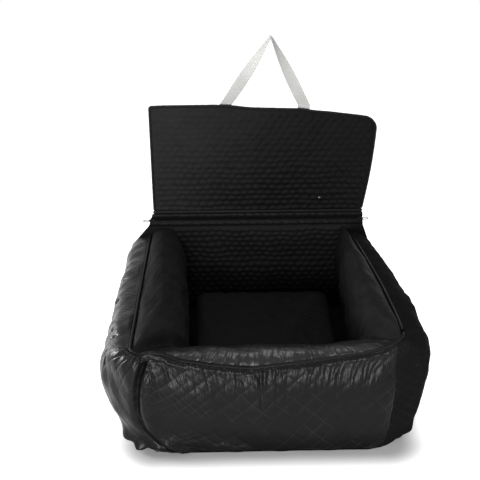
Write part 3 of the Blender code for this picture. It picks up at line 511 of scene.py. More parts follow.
def cloth_material(
    name, colour, roughness, specular, ior=1.15, weave=0.0009, relief=0.05, mottle=0.25,
    stitches=(), thread=None, streaks=0.0, painted_light_slant=None,
):
    """Woven cloth on a UV map in metres. Two crossed sine waves make the threads and noise varies the
    shade. Each of stitches, (wide, high, from, to), draws a diamond of dashed thread between two places
    along the cloth, worn away here and there by noise. Streaks raise fine upright puckers, strongest at
    the top edge. The last argument, (left, right, low, high), paints light and shade into the colour: a
    factor from low to high across a slant of the cloth, painted light on one side and painted shade on
    the other."""
    material, tree, shader = new_material(name)
    feed(shader, {"Roughness": roughness, "Specular IOR Level": specular, "IOR": ior})
    cloth = add(tree, "UVMap", {}, uv_map="Cloth")

    def maths(kind, *values):
        """Math node of one kind over its values."""
        return add(tree, "Math", dict(enumerate(values)), operation=kind)

    def noise(scale, detail, stretch=(1.0, 1.0, 1.0)):
        """Noise on the UV map, with the map scaled each way first."""
        place = add(tree, "Mapping", {"Vector": cloth, "Scale": stretch})
        return add(tree, "TexNoise", {"Vector": place, "Scale": scale, "Detail": detail})

    def ramp(value, low, high, start=0.0, end=1.0):
        """The value carried from low..high to start..end by a smoothstep."""
        ends = {0: value, 1: low, 2: high, 3: start, 4: end}
        return add(tree, "MapRange", ends, interpolation_type="SMOOTHSTEP")

    split = add(tree, "SeparateXYZ", {0: cloth})
    x, y = split.outputs[0], split.outputs[1]
    waves = [maths("SINE", maths("MULTIPLY", way, 2 * math.pi / weave)) for way in (x, y)]
    threads = maths("MULTIPLY", *waves)
    shade = maths("MULTIPLY_ADD", maths("SUBTRACT", noise(34.0, 5.0), 0.5), 2 * mottle, 1.0)
    shade = maths("MULTIPLY_ADD", threads, 0.10, shade)
    # Painted light and shade: the colour is multiplied by a factor that runs across a slant of the cloth,
    # lighter where the slant starts and darker where it ends.
    if painted_light_slant:
        wavering = maths("MULTIPLY_ADD", noise(9.0, 3.0), 0.12, maths("MULTIPLY_ADD", y, -0.45, x))
        shade = maths("MULTIPLY", shade, ramp(wavering, *painted_light_slant))
    height = maths("MULTIPLY_ADD", threads, 0.5, noise(700.0, 2.0))
    shaded = {0: 1.0, MIX_A: (*colour, 1.0), MIX_B: shade}
    result = add(tree, "Mix", shaded, data_type="RGBA", blend_type="MULTIPLY").outputs[MIX_RESULT]
    lines = []
    for wide, high, start, end in stitches:
        across, down = maths("DIVIDE", x, wide), maths("DIVIDE", y, high)
        within = maths("MULTIPLY", ramp(x, start - 0.02, start + 0.02), ramp(x, end + 0.02, end - 0.02))
        dash = maths("GREATER_THAN", maths("SINE", maths("MULTIPLY", y, 2 * math.pi / 0.0026)), -0.5)
        for kind in ("ADD", "SUBTRACT"):
            near = maths("LESS_THAN", maths("PINGPONG", maths(kind, across, down), 0.5), 0.00036 / wide)
            lines.append(maths("MULTIPLY", maths("MULTIPLY", near, dash), within))
    if lines:
        sewn = lines[0]
        for line in lines[1:]:
            sewn = maths("MAXIMUM", sewn, line)
        sewn = maths("MULTIPLY", sewn, ramp(noise(16.0, 2.0), 0.42, 0.62))
        threaded = {0: sewn, MIX_A: result, MIX_B: (*thread, 1.0)}
        result = add(tree, "Mix", threaded, data_type="RGBA").outputs[MIX_RESULT]
        height = maths("MULTIPLY_ADD", sewn, 0.6, height)
    raised = add(tree, "Bump", {"Strength": relief, "Distance": 0.0006, "Height": height})
    if streaks:
        pleats = noise(190.0, 4.0, stretch=(1.0, 0.08, 1.0))
        pleats = maths("MULTIPLY", pleats, ramp(y, 0.0, 0.14, 1.0, 0.45))
        puckered = {"Strength": streaks, "Distance": 0.004, "Height": pleats, "Normal": raised}
        raised = add(tree, "Bump", puckered)
    feed(shader, {"Base Color": result, "Normal": raised})
    return material


def dress(piece, material, body, slot_name, *replaced):
    """Gives a piece its material and its body, and hides the nodes that it stands for. Its slot name is not
    used.
    """
    piece.data.materials.append(material)
    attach(piece, body)
    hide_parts(*replaced)


# Width and height of a diamond, and the stretch of cloth that it covers
SMALL_LATTICE = (QUILT_WIDE, QUILT_HIGH, -1.0, 9.0)
FRONT_LATTICE = (
    (QUILT_WIDE, QUILT_HIGH, -1.0, LEFT_AT + LATTICE_DOUBLES),
    (2 * QUILT_WIDE, 2 * QUILT_HIGH, LEFT_AT + LATTICE_DOUBLES, 9.0),
)
side_cloth = cloth_material(
    "side_cloth", (0.0050, 0.0050, 0.0053), 0.34, 0.55, ior=1.2,
    stitches=(SMALL_LATTICE,), thread=(0.030, 0.030, 0.031), streaks=0.30,
)
# The right panel has a rougher, less glossy copy of the side cloth, so that it renders darker: painted
# shade of the right side, on the same cloth as the left.
side_cloth_shaded_copy = cloth_material(
    "side_cloth_shaded_copy", (0.0070, 0.0070, 0.0073), 0.72, 0.30, ior=1.05,
    stitches=(SMALL_LATTICE,), thread=(0.026, 0.026, 0.027), streaks=0.20,
)
quilt_cloth = cloth_material(
    "quilt_cloth", (0.0028, 0.0028, 0.0030), 0.30, 1.0, ior=1.135,
    stitches=FRONT_LATTICE, thread=(0.035, 0.035, 0.036), streaks=0.55,
)
for name, start, end, material, slot_name in (
    ("left", 0.0, LEFT_SEAM, side_cloth, "side_fabric"),
    ("front", LEFT_SEAM, RIGHT_SEAM, quilt_cloth, "quilted_fabric"),
    ("right", RIGHT_SEAM, 5.0, side_cloth_shaded_copy, "side_fabric"),
):
    t = even_values(outer_shape, start, end, OUTER_LEVEL, PANEL_STEP)
    t, v = np.meshgrid(t, 1 - np.linspace(0, 1, PANEL_ROWS) ** 1.15, indexing="ij")
    t = seam_warp(t, v)
    panel = closed_sheet(f"{name}_outer_cloth", *clothed(outer_shape, outer_relief, t, v, OUTER_LEVEL, -1))
    dress(panel, material, "tub", slot_name, f"{name}_outer_panel")

# Inner panels of the bolsters
# Short-napped plain cloth over the crest and down to the floor of the tub, mitred at the front corners.
# The front one is gathered where it leaves the piping.
INNER_FACE = (0.161, 0.175, -0.016, -0.020, 0.171, 0.020)
INNER_FOOT = (0.176, 0.190, -0.016, -0.020, 0.190, 0.020)
CREST_INSET = 0.025
# Rise above the ridge of the curve's second point at the sides, and of its third at the sides and front
CREST_LIFT = 0.040
FACE_LIFT = 0.022
FRONT_FACE_LIFT = -0.020
# Height of the front bolster's rolled top by X, nearly level where the piping sags below it
FRONT_CREST = (
    (-0.240, 0.203), (-0.130, 0.203), (-0.040, 0.201), (0.014, 0.202), (0.133, 0.204), (0.200, 0.213),
    (0.241, 0.217),
)
# Name of each bolster and its stretch of t, from mitre to mitre
BOLSTERS = (("left", 0.0, 1.5), ("front", 1.5, 3.5), ("right", 3.5, 5.0))
# Share v of the inner side at which distances round it are measured
INNER_LEVEL = 0.3
INNER_ROWS = 120
INNER_GATHERS = 64
INNER_GATHER_RANGES = ((0.0018, 0.0040), (0.0016, 0.0052), (0.014, 0.045))


def inner_shape(t, v):
    """Smooth inner side: ridge at v = 0, over the crest, inner face at v = 3/4, its foot at v = 1."""
    ridge = outset(RIDGE, -PIPING_CLEAR)
    crest = (*outset(ridge, -CREST_INSET)[:5], INNER_FACE[5])
    face = tuple(
        64 / 27 * f - r / 27 - 9 / 27 * c - o for f, r, c, o in zip(INNER_FACE, ridge, crest, INNER_FOOT)
    )
    height = ridge_height(t)
    front = eased(np.minimum((t - 0.9) / 0.6, (4.1 - t) / 0.6))
    crest_z = smooth_through(plan(t, ridge)[0], FRONT_CREST)
    lift = CREST_LIFT + (np.clip((crest_z - height + 0.005) / 0.4, -0.03, 0.065) - CREST_LIFT) * front
    face_lift = FACE_LIFT + (FRONT_FACE_LIFT - FACE_LIFT) * front
    heights = (height, height + lift, height + face_lift, FOOT_Z)
    return bezier_section(t, v, (ridge, crest, face, INNER_FOOT), heights)


front_start, front_end = run_round(inner_shape, np.array([2.0, 3.0]), INNER_LEVEL)
random = np.random.default_rng(5)
gather_places = front_start + (front_end - front_start) * random.beta(1.3, 1.5, INNER_GATHERS)
inner_gathers = drawn_folds(random, gather_places, INNER_GATHER_RANGES, 0.12)


def inner_relief(t, v, along, down):
    """Gathers beside the piping on the front, slow swells of the filling and fine upright ripples
    everywhere, and a fullness low on the right side that grows towards its back end."""
    swells = 0.0022 * swell(along, down, 0.13, 21) + 0.0013 * swell(along, down, 0.045, 22)
    swells = swells + 0.0004 * swell(along * 0.7, down, 0.016, 25)
    ripple = 0.0007 * np.sin(along / 0.0042 + 3 * swell(along, down, 0.06, 23))
    ripple = ripple * held(swell(along, down, 0.10, 24))
    full = 0.010 * held(t - 4) ** 0.5 * bell(v - 0.74, 0.20)
    total = swells + folds(along, down, inner_gathers) + ripple + full
    return held(down / 0.010) * held((1 - v) / 0.06) * total


crest_cloth = cloth_material(
    "crest_cloth", (0.0050, 0.0050, 0.0053), 0.38, 0.5, ior=1.33, relief=0.06, mottle=0.30, streaks=0.20
)
inner_cloth = cloth_material(
    "inner_cloth", (0.0076, 0.0076, 0.0079), 0.58, 0.60, ior=1.1, relief=0.25, mottle=0.50, streaks=0.16
)
for name, start, end in BOLSTERS:
    t = even_values(inner_shape, start, end, INNER_LEVEL)
    t, v = np.meshgrid(t, np.linspace(0, 1, INNER_ROWS), indexing="ij")
    grids = clothed(inner_shape, inner_relief, t, v, INNER_LEVEL, 1)
    panel = closed_sheet(f"{name}_inner_cloth", *grids)
    cloth = crest_cloth if name == "front" else inner_cloth
    dress(panel, cloth, "tub", "inner_fabric", f"{name}_inner_panel")

# Fibre fillings
# Loose polyester fibre blown between the panels of each bolster. It is hidden in the finished bed.
FILLING_INSET = 0.023
# How much further the filling draws back at the left and right seams, and over what width in t
SEAM_INSETS = (0.020, 0.010)
SEAM_INSET_WIDTH = 0.3


def plain_material(
    name, colour, roughness, specular, scale, metallic=0.0, mottle=0.3, relief=0.3, depth=0.001
):
    """Material on Object coordinates: noise varies a colour and raises the surface."""
    material, tree, shader = new_material(name)
    feed(shader, {"Roughness": roughness, "Specular IOR Level": specular, "Metallic": metallic})
    place = add(tree, "TexCoord", {}).outputs["Object"]
    noise = add(tree, "TexNoise", {"Vector": place, "Scale": scale, "Detail": 5.0})
    shade = add(tree, "ValToRGB", {0: noise})
    for stop, at, factor in zip(shade.color_ramp.elements, (0.3, 0.7), (1 - mottle, 1 + mottle)):
        stop.position = at
        stop.color = (*(min(1.0, c * factor) for c in colour), 1.0)
    raised = add(tree, "Bump", {"Strength": relief, "Distance": depth, "Height": noise})
    feed(shader, {"Base Color": shade, "Normal": raised})
    return material


def cap_quads(ring):
    """Quads that fill one ring of an even number of points, in strips between its two halves."""
    half = len(ring) // 2
    near, far = ring[:half], ring[::-1][:half]
    return np.stack([near[:-1], near[1:], far[1:], far[:-1]], axis=-1)


def lofted(name, solids, uv=None, flip=False):
    """One object from closed solids, each an array of rings (rings, points, 3) capped at both ends."""
    quads, first = [], 0
    for rings in solids:
        count, sides = rings.shape[:2]
        index = first + np.arange(count * sides).reshape(count, sides)
        after = np.roll(index, -1, axis=1)
        walls = np.stack([index[:-1], after[:-1], after[1:], index[1:]], axis=-1).reshape(-1, 4)
        quads += [walls, cap_quads(index[0])[:, ::-1], cap_quads(index[-1])]
        first += count * sides
    quads = np.concatenate(quads)
    points = np.concatenate([rings.reshape(-1, 3) for rings in solids])
    uv = None if uv is None else uv.reshape(-1, 2)
    return mesh_piece(name, points, quads[:, ::-1] if flip else quads, uv)


fibre = plain_material("fibre", (0.80, 0.80, 0.78), 0.95, 0.1, 140.0, mottle=0.08, relief=0.8, depth=0.004)
for name, start, end in BOLSTERS:
    t, v = np.meshgrid(np.linspace(start, end, 90), np.linspace(0.02, 0.96, 30), indexing="ij")
    rings = np.concatenate([outer_shape(t, v), inner_shape(t, v + 0.02)], axis=1)
    middle = rings.mean(axis=1, keepdims=True)
    arm = rings - middle
    reach = np.linalg.norm(arm, axis=-1, keepdims=True)
    lumps = 0.002 * swell(rings[..., 0] + rings[..., 2], rings[..., 1] - rings[..., 2], 0.03, 31)[..., None]
    crease = SEAM_INSETS[0] * bell(t - LEFT_SEAM - seam_stray(v), SEAM_INSET_WIDTH)
    crease = crease + SEAM_INSETS[1] * bell(t - RIGHT_SEAM, SEAM_INSET_WIDTH)
    inset = FILLING_INSET + np.concatenate([crease, 0 * crease], axis=1)[..., None]
    rings = kept_in(middle + arm * (1 - (inset - lumps) / reach), FOOT_Z + 0.004, BACK_Y - 0.014)
    filling = lofted(f"{name}_fibre", [rings])
    dress(filling, fibre, "tub", "fibre_filling", f"{name}_filling")

# Piping along the ridge
# Cord in a strip of black cloth, caught in the seam between the outer and inner panels. Its seam
# allowance reaches down between them.
PIPING_RADIUS = 0.0031
PIPING_STEP = 0.0016
SEAM_ALLOWANCE = 0.007
ROUND_SIDES = 14


def tube(name, path, profile, up, wobble=None, round_ends=True):
    """Solid along a path: profile points (side, up) carried square to it, with rounded ends. Wobble is a
    factor on each point of each ring."""
    run = lengths_along(path)
    tangent = unit(np.gradient(path, run, axis=0))
    side = unit(np.cross(tangent, up))
    lift = np.cross(side, tangent)
    scale = np.ones(len(path))
    if round_ends:
        radius = np.abs(profile).max()
        for from_end in (run, run[-1] - run):
            near = held(1 - from_end / radius)
            scale = scale * np.sqrt(np.maximum(1 - near**2, 0.02))
    shape = profile[None] * scale[:, None, None]
    if wobble is not None:
        shape = shape * wobble[..., None]
    rings = path[:, None] + shape[..., :1] * side[:, None] + shape[..., 1:] * lift[:, None]
    around = np.cumsum(np.linalg.norm(np.roll(profile, -1, axis=0) - profile, axis=1))
    return lofted(name, [rings], points_of(run[:, None], around))


def even_path(points, step):
    """The same line with evenly spaced points."""
    run = lengths_along(points)
    places = np.linspace(0, run[-1], int(run[-1] / step) + 1)
    return np.stack([np.interp(places, run, points[:, axis]) for axis in range(3)], axis=1)


def round_angles(count):
    """Angles of evenly spaced points round a circle."""
    return np.linspace(0, 2 * math.pi, count, endpoint=False)


def circle(radius, sides=ROUND_SIDES):
    """Profile points round a circle, in the order that faces outwards along the path."""
    angle = round_angles(sides)
    return radius * points_of(np.cos(angle), np.sin(angle))


piping_cloth = cloth_material("piping_cloth", (0.0050, 0.0050, 0.0052), 0.42, 0.50, weave=0.0007)
profile = circle(PIPING_RADIUS)
profile[profile[:, 1] < 0, 1] *= SEAM_ALLOWANCE / PIPING_RADIUS
for name, start, end in (("left", 0.0, 1.98), ("front", 2.0, 3.98), ("right", 4.02, 5.0)):
    t = np.linspace(start, end, 1200)
    path = kept_in(even_path(points_of(*plan(t, RIDGE), ridge_height(t) + 0.0006), PIPING_STEP))
    run = np.arange(len(path)) * PIPING_STEP
    wobble = 1 + 0.05 * swell(run[:, None], np.arange(ROUND_SIDES) * 0.002, 0.009, 41)
    piping = tube(f"{name}_piping_cloth", path, profile, (0, 0, 1), wobble, round_ends=False)
    dress(piping, piping_cloth, "tub", "piping_cord", f"{name}_piping")

# Base
# Coarse plain cloth stretched under the filling, sewn to the feet of the panels all round.
BASE_THICK = 0.004
BACK_LAYERS = 0.0058


def between_edges(rows_at, left, right, step):
    """Grid of points (across, rows): even steps from a left edge to a right edge on every row."""
    count = int((right - left).max() / step) + 2
    share = np.linspace(0, 1, count)[:, None]
    across = left[None] + (right - left)[None] * share
    return across, np.broadcast_to(rows_at[None], across.shape)


t = np.linspace(0, 5, 1200)
foot_x, foot_y = plan(t, FOOT)
rows_at = np.append(np.linspace(-FOOT[4] + 0.0002, BACK_Y - GAP, 110), BACK_Y + BACK_LAYERS)
left_edge = np.interp(-rows_at, -foot_y[t < 2.5], foot_x[t < 2.5])
right_edge = np.interp(rows_at, foot_y[t > 2.5], foot_x[t > 2.5])
across, rows = between_edges(rows_at, left_edge, right_edge, 0.005)
sag = 0.0008 * swell(across, rows, 0.05, 51)
upper = points_of(across, rows, BASE_THICK - 0.0010 + np.minimum(sag, 0.0009))
lower = points_of(across, rows, np.maximum(0.0012 + np.minimum(sag, 0.0), 0.0))
base_cloth = cloth_material("base_cloth", (0.002, 0.002, 0.002), 0.80, 0.15, weave=0.0016, relief=0.3)
base = closed_sheet("base_cloth_sheet", upper, lower, points_of(across, rows))
dress(base, base_cloth, "tub", "base_fabric", "base_panel")

# Back panel
# Two layers of cloth quilted to wadding in rows of small diamonds, sewn up the bolsters' back ends and
# to the lower zip tape. It sags forward a little above the cushion. A plain lining closes it behind.
BACK_TOP = 0.2265
BACK_TOP_LEFT = 0.262
BACK_TOP_RIGHT = 0.246
BACK_THICK = 0.004
BACK_QUILT = (0.0190, 0.0270)


def upright_sheet(name, x, z, front_y, rear_y, foot=0.0):
    """Closed sheet over a grid of X and Z, from a front Y to a rear Y. UV is X and the height over foot."""
    return closed_sheet(name, points_of(x, front_y, z), points_of(x, rear_y, z), points_of(x, z - foot))


def rows_relief(across, up, puff, ripple, seed):
    """Quilted rows: small diamond puffs, and ripples a half diamond apart that wander slowly."""
    level = up + 0.0022 * swell(across, up, 0.06, seed)
    puffs = diamonds(across + 0.0015 * swell(across, up, 0.05, seed + 1), level, *BACK_QUILT)
    waves = 0.5 + 0.5 * np.sin(2 * math.pi * level / (BACK_QUILT[1] / 2))
    return puff * puffs + ripple * waves


rows_at = np.linspace(FOOT_Z, BACK_TOP, 100)
edges = []
for end, top_x in ((0.0, -BACK_TOP_LEFT), (5.0, BACK_TOP_RIGHT)):
    side = outer_shape(np.full(200, end), np.linspace(0, 0.75, 200))
    edges.append(np.interp(rows_at, [*side[:, 2], BACK_TOP], [*side[:, 0], top_x]))
across, rows = between_edges(rows_at, *edges, 0.0024)
inside = eased(held((across + 0.215) / 0.02) * held((0.225 - across) / 0.02))
hang = 0.0060 * bell(rows - 0.105, 0.035) * (0.7 + 0.3 * swell(across, rows, 0.12, 61))
hang = hang + 0.0018 * (swell(across, rows, 0.09, 62) + 1)
relief = inside * (rows_relief(across, rows, 0.0020, 0.0014, 63) + hang)
front_y = BACK_Y - relief * (0.35 + 0.65 * held((BACK_TOP - rows) / 0.01))
back_cloth = cloth_material("back_cloth", (0.0060, 0.0060, 0.0063), 0.50, 0.40, relief=0.2)
back_panel = upright_sheet("back_quilt", across, rows, front_y, BACK_Y + BACK_THICK)
dress(back_panel, back_cloth, "tub", "quilted_fabric", "back_panel")

lining_cloth = cloth_material(
    "lining_cloth", (0.012, 0.012, 0.0125), 0.60, 1.0, weave=0.0012, relief=0.4, streaks=0.3
)
lining_y = BACK_Y + BACK_THICK + GAP
ripple = 0.0008 * (1 + swell(across, rows, 0.05, 66)) + 0.0004 * (1 + swell(across, rows * 0.4, 0.012, 67))
back_lining = upright_sheet("back_lining_cloth", across, rows, lining_y, lining_y + 0.0010 + ripple)
dress(back_lining, lining_cloth, "tub", "lining_fabric", "back_lining")

# Zip and fold
# A black nylon coil zip joins the back panel to the flap. Each half has a woven tape with a rounded
# cloth edge and a spun coil; above the upper tape a rolled seam is the line on which the flap folds.
# Low and high edge of each tape, and where its thin edge ends in the coil
TAPE_LOW = (0.2268, 0.2384, 0.2437)
TAPE_HIGH = (0.2478, 0.2594, 0.2425)
COIL_PITCH = 0.0014
COIL_WIRE = 0.00040
# X of the two ends of the fold, which the tapes narrow towards
ZIP_END_LEFT = -0.2500
ZIP_END_RIGHT = 0.2425
FOLD_Z = 0.2639
FOLD_RADIUS = 0.0042
ZIP_Y = 0.240


def welt(name, low, high, inside_coil, seed):
    """Tape between two heights, its front swollen as a half sine and rippled along its length, with its
    thin edge reaching into the coil."""
    across, share = np.meshgrid(np.linspace(0, 1, 300), np.linspace(0, 1, 14), indexing="ij")
    z = low + (high - low) * share
    climb = (z - BACK_TOP) / (FOLD_Z - BACK_TOP)
    left = -BACK_TOP_LEFT + (BACK_TOP_LEFT + ZIP_END_LEFT) * climb
    x = left + (BACK_TOP_RIGHT + (ZIP_END_RIGHT - BACK_TOP_RIGHT) * climb - left) * across
    swollen = np.sin(math.pi * share) ** 0.7
    puffs = 0.5 + 0.5 * np.cos(2 * math.pi * (x / 0.019 + 0.5 * (seed % 2)) + swell(x, z, 0.05, seed + 5))
    y = ZIP_Y - 0.0004 - swollen * (0.0016 + 0.0009 * puffs + 0.0004 * swell(x, z, 0.02, seed))
    coil_above = inside_coil > high
    thin_y = ZIP_Y - 0.0005 if coil_above else ZIP_Y + 0.0005

    def with_edge(values, edge):
        """The values with one more column for the thin edge, on the coil's side."""
        column = np.broadcast_to(edge, (len(values), 1))
        return np.concatenate([values, column] if coil_above else [column, values], axis=1)

    rear_y = with_edge(np.full_like(y, ZIP_Y + 0.0006), thin_y + 0.0003)
    x, y, z = with_edge(x, x[:, :1]), with_edge(y, thin_y - 0.0003), with_edge(z, inside_coil)
    return upright_sheet(name, x, z, y, rear_y)


tape_cloth = cloth_material("tape_cloth", (0.0048, 0.0048, 0.0050), 0.45, 0.40, weave=0.0006)
for name, heights, seed, node in (
    ("lower_tape", TAPE_LOW, 71, "zip_tape_lower"),
    ("upper_tape", TAPE_HIGH, 72, "zip_tape_upper"),
):
    tape = welt(name, *heights, seed)
    dress(tape, tape_cloth, "tub", "zip_tape", node)

coil_nylon = plain_material("coil_nylon", (0.003, 0.003, 0.0033), 0.50, 0.05, 900.0, depth=0.0001)
turns = int((BACK_TOP_LEFT + BACK_TOP_RIGHT - 0.008) / COIL_PITCH)
angle = np.linspace(0, 2 * math.pi * turns, turns * 8)
for name, z, offset, node in (
    ("lower_coil", 0.24165, 0.0, "zip_coil_lower"),
    ("upper_coil", 0.24455, 0.5, "zip_coil_upper"),
):
    x = -BACK_TOP_LEFT + 0.005 + (angle / (2 * math.pi) + offset) * COIL_PITCH
    line = points_of(x, ZIP_Y + 0.00090 * np.cos(angle), z + 0.0013 * np.sin(angle))
    coil = tube(name, line, circle(COIL_WIRE, 4), (1, 0, 0), round_ends=False)
    dress(coil, coil_nylon, "tub", "zip_coil", node)

x = np.linspace(ZIP_END_LEFT, ZIP_END_RIGHT, 320)
wobble = 1 + 0.06 * held(swell(x[:, None], np.arange(18) * 0.0015, 0.014, 73))
binding_cloth = cloth_material("binding_cloth", (0.0060, 0.0060, 0.0062), 0.45, 0.55, weave=0.0007)
oval = circle(FOLD_RADIUS * 1.03, 18) * (0.70, 1.0)
fold = tube("fold_roll", points_of(x, ZIP_Y, FOLD_Z), oval, (0, 0, 1), wobble)
dress(fold, binding_cloth, "tub", "edge_binding", "fold_seam")

# Zip sliders and pulls
# Black enamelled castings: two plates round the coil with a bridge, and a wire pull that turns on the
# bridge and hooks outwards past the end of the zip.
# Side, X and outward direction of each slider
SLIDERS = (("left", -0.253, -1), ("right", 0.237, 1))
# Half width, range of Y and range of Z of the two plates, the web between them and the bridge's posts
SLIDER_BLOCKS = (
    (0.005, 0.2372, 0.2384, 0.2390, 0.2472),
    (0.005, 0.2416, 0.2428, 0.2390, 0.2472),
    (0.0015, 0.2378, 0.2422, 0.2428, 0.2434),
    (0.002, 0.2350, 0.2378, 0.2390, 0.2399),
    (0.002, 0.2350, 0.2378, 0.2463, 0.2472),
)
# The pull's Y and Z, how far out from the slider its middle lies, its half length and half height, and
# the radius of its wire
PULL_Y, PULL_Z = 0.2362, 0.2431
PULL_OUT = 0.0102
PULL_HALF = (0.0098, 0.0020)
PULL_WIRE = 0.0009


def soft(value, power):
    """The size of the value raised to a power, with the value's sign."""
    return np.sign(value) * np.abs(value) ** power


def rounded_block(low, high, power=0.28):
    """Rounded block: a superellipsoid, the sine and cosine of two angles raised to a small power."""
    low, high = np.array(low), np.array(high)
    polar, angle = np.meshgrid(np.linspace(0, math.pi, 14), round_angles(24), indexing="ij")
    ring = soft(np.sin(polar), power)
    x, y = ring * soft(np.cos(angle), power), ring * soft(np.sin(angle), power)
    return (low + high) / 2 + points_of(x, y, -soft(np.cos(polar), power)) * (high - low) / 2


enamel = plain_material("black_enamel", (0.005, 0.005, 0.005), 0.50, 0.12, 300.0, depth=0.0001)
for name, x, outward in SLIDERS:
    blocks = [rounded_block((x - w, y0, z0), (x + w, y1, z1)) for w, y0, y1, z0, z1 in SLIDER_BLOCKS]
    slider = lofted(f"{name}_slider_casting", blocks)
    dress(slider, enamel, f"{name}_slider", "black_metal", f"{name}_slider")
    angle = round_angles(80)
    long_way = np.clip(np.cos(angle) * 1.35, -1, 1) * PULL_HALF[0]
    wire = points_of(x + outward * (PULL_OUT + long_way), PULL_Y, PULL_Z + PULL_HALF[1] * np.sin(angle))
    closed = np.concatenate([wire, wire[:1]])
    sideways = np.cross(unit(np.gradient(closed, axis=0)), (0, 1, 0))
    profile = circle(PULL_WIRE, 8)
    rings = closed[:, None] + profile[:, :1] * sideways[:, None] + profile[:, 1:] * (0.0, 1.0, 0.0)
    pull = lofted(f"{name}_pull_wire", [rings])
    dress(pull, enamel, f"{name}_pull", "black_metal", f"{name}_pull")

# Flap
# The same small-diamond quilting as the back panel, with a plain lining behind and a narrow rolled
# binding up the left side, over the top and down the right. Its top droops towards a rounded corner.
FLAP_FOOT = 0.2684
FLAP_TOP = 0.5159
FLAP_LEFT = -0.246
FLAP_RIGHT_FOOT = 0.239
FLAP_RIGHT_TOP = 0.260
RIGHT_BOW = 0.004
# Height of the top edge by X: it stands highest just left of the loop and falls to the right
FLAP_TOP_EDGE = (
    (-0.246, 0.5188), (-0.220, 0.5200), (-0.100, 0.5206), (-0.068, 0.5194), (-0.024, 0.5140),
    (0.031, 0.5122), (0.090, 0.5106), (0.118, 0.5062), (0.154, 0.5030), (0.190, 0.4984),
    (0.226, 0.4938), (0.260, 0.4880),
)
FLAP_CORNER = 0.026
LEFT_CORNER = 0.004
# Y of the quilt's smooth front, of the furthest back that its front may sink, of its rear and of the
# lining's front
QUILT_FRONT, QUILT_LIMIT, QUILT_REAR, LINING_FRONT = 0.2385, 0.2405, 0.2412, 0.2415
BINDING_RADIUS = 0.0032
BINDING_STEP = 0.002


def flap_outline_point(a, b):
    """Point (x, z) of the flap for shares a across and b up: straight sides, a drooping top, and its top
    corners rounded by turning a square patch into a quarter disc."""
    wide = FLAP_RIGHT_TOP - FLAP_LEFT
    tall = FLAP_TOP_EDGE[-1][1] - FLAP_FOOT
    for corner, side in ((FLAP_CORNER, 1), (LEFT_CORNER, -1)):
        from_side = (1 - a if side > 0 else a) * wide / corner
        from_top = (1 - b) * tall / corner
        u = held(1 - from_side)
        w = held(1 - from_top)
        a = a + side * corner / wide * (u * np.sqrt(1 - w**2 / 2) - u)
        b = b + corner / tall * (w * np.sqrt(1 - u**2 / 2) - w)
    right = FLAP_RIGHT_FOOT + (FLAP_RIGHT_TOP - FLAP_RIGHT_FOOT) * b + RIGHT_BOW * np.sin(math.pi * b)
    x = FLAP_LEFT + (right - FLAP_LEFT) * a
    return x, FLAP_FOOT + (smooth_through(x, FLAP_TOP_EDGE) - FLAP_FOOT) * b


def flap_bend(x, z):
    """Gentle standing waves of the flap, as a shift in Y that is nil at its foot and top."""
    share = held((z - FLAP_FOOT) / (FLAP_TOP - FLAP_FOOT))
    return -0.004 * np.sin(math.pi * share) ** 1.5 * np.sin((x + 0.24) / 0.5 * math.pi)


across, up = np.meshgrid(np.linspace(0, 1, 215), np.linspace(0, 1, 112), indexing="ij")
x, z = flap_outline_point(across, up)
bend = flap_bend(x, z)
rim = np.minimum(np.minimum(across, 1 - across) * 0.5, (1 - up) * 0.25)
inside = held((rim - 0.002) / 0.007)
calm = 0.62 + 0.38 * held((across + 1.1 - up) / 0.9 - 0.35 + 0.35 * swell(x, z, 0.09, 85))
uneven = 0.85 + 0.20 * swell(x, z, 0.028, 86)
ripples = 0.0006 + 0.0009 * held(1.25 - 1.5 * up)
relief = inside * calm * uneven * rows_relief(x, z - FLAP_FOOT, 0.0021, ripples, 81)
slow = np.maximum(0.0012 * swell(x, z, 0.12, 82) * inside, -0.0005)
front_y = np.minimum(QUILT_FRONT + bend - relief - slow, QUILT_LIMIT)
flap = upright_sheet("flap_quilted_cloth", x, z, front_y, QUILT_REAR + bend, FLAP_FOOT)
# The flap's colour carries painted light towards its upper left and painted shade towards its right.
flap_cloth = cloth_material(
    "flap_cloth", (0.0080, 0.0080, 0.0082), 0.50, 0.40, relief=0.20, painted_light_slant=(-0.33, 0.10, 1.9, 0.38)
)
dress(flap, flap_cloth, "flap", "quilted_fabric", "flap_quilt")

front_y = LINING_FRONT + bend
rear_y = front_y + 0.0010 + 0.0004 * (1 + swell(x, z, 0.07, 83)) * inside
flap_lining = upright_sheet("flap_lining_cloth", x, z, front_y, rear_y, FLAP_FOOT)
dress(flap_lining, lining_cloth, "flap", "lining_fabric", "flap_lining")

edge_across = np.concatenate([np.zeros(200), np.linspace(0, 1, 400)[1:], np.ones(199)])
edge_up = np.concatenate([np.linspace(0, 1, 200), np.ones(399), np.linspace(1, 0, 200)[1:]])
x, z = flap_outline_point(edge_across, edge_up)
path = even_path(points_of(x, ZIP_Y + flap_bend(x, z), z), BINDING_STEP)
run = np.arange(len(path)) * BINDING_STEP
wobble = 1 + 0.05 * swell(run[:, None], np.arange(ROUND_SIDES) * 0.002, 0.012, 84)
binding = tube("flap_binding_cloth", path, circle(BINDING_RADIUS), (0, -1, 0), wobble)
dress(binding, binding_cloth, "flap", "edge_binding", "flap_binding")

# Stud
# A bright pressed stud through the flap, a low dome in a narrow ring.
STUD_PLACE = (0.139, 0.2979)
STUD_Y = 0.2364
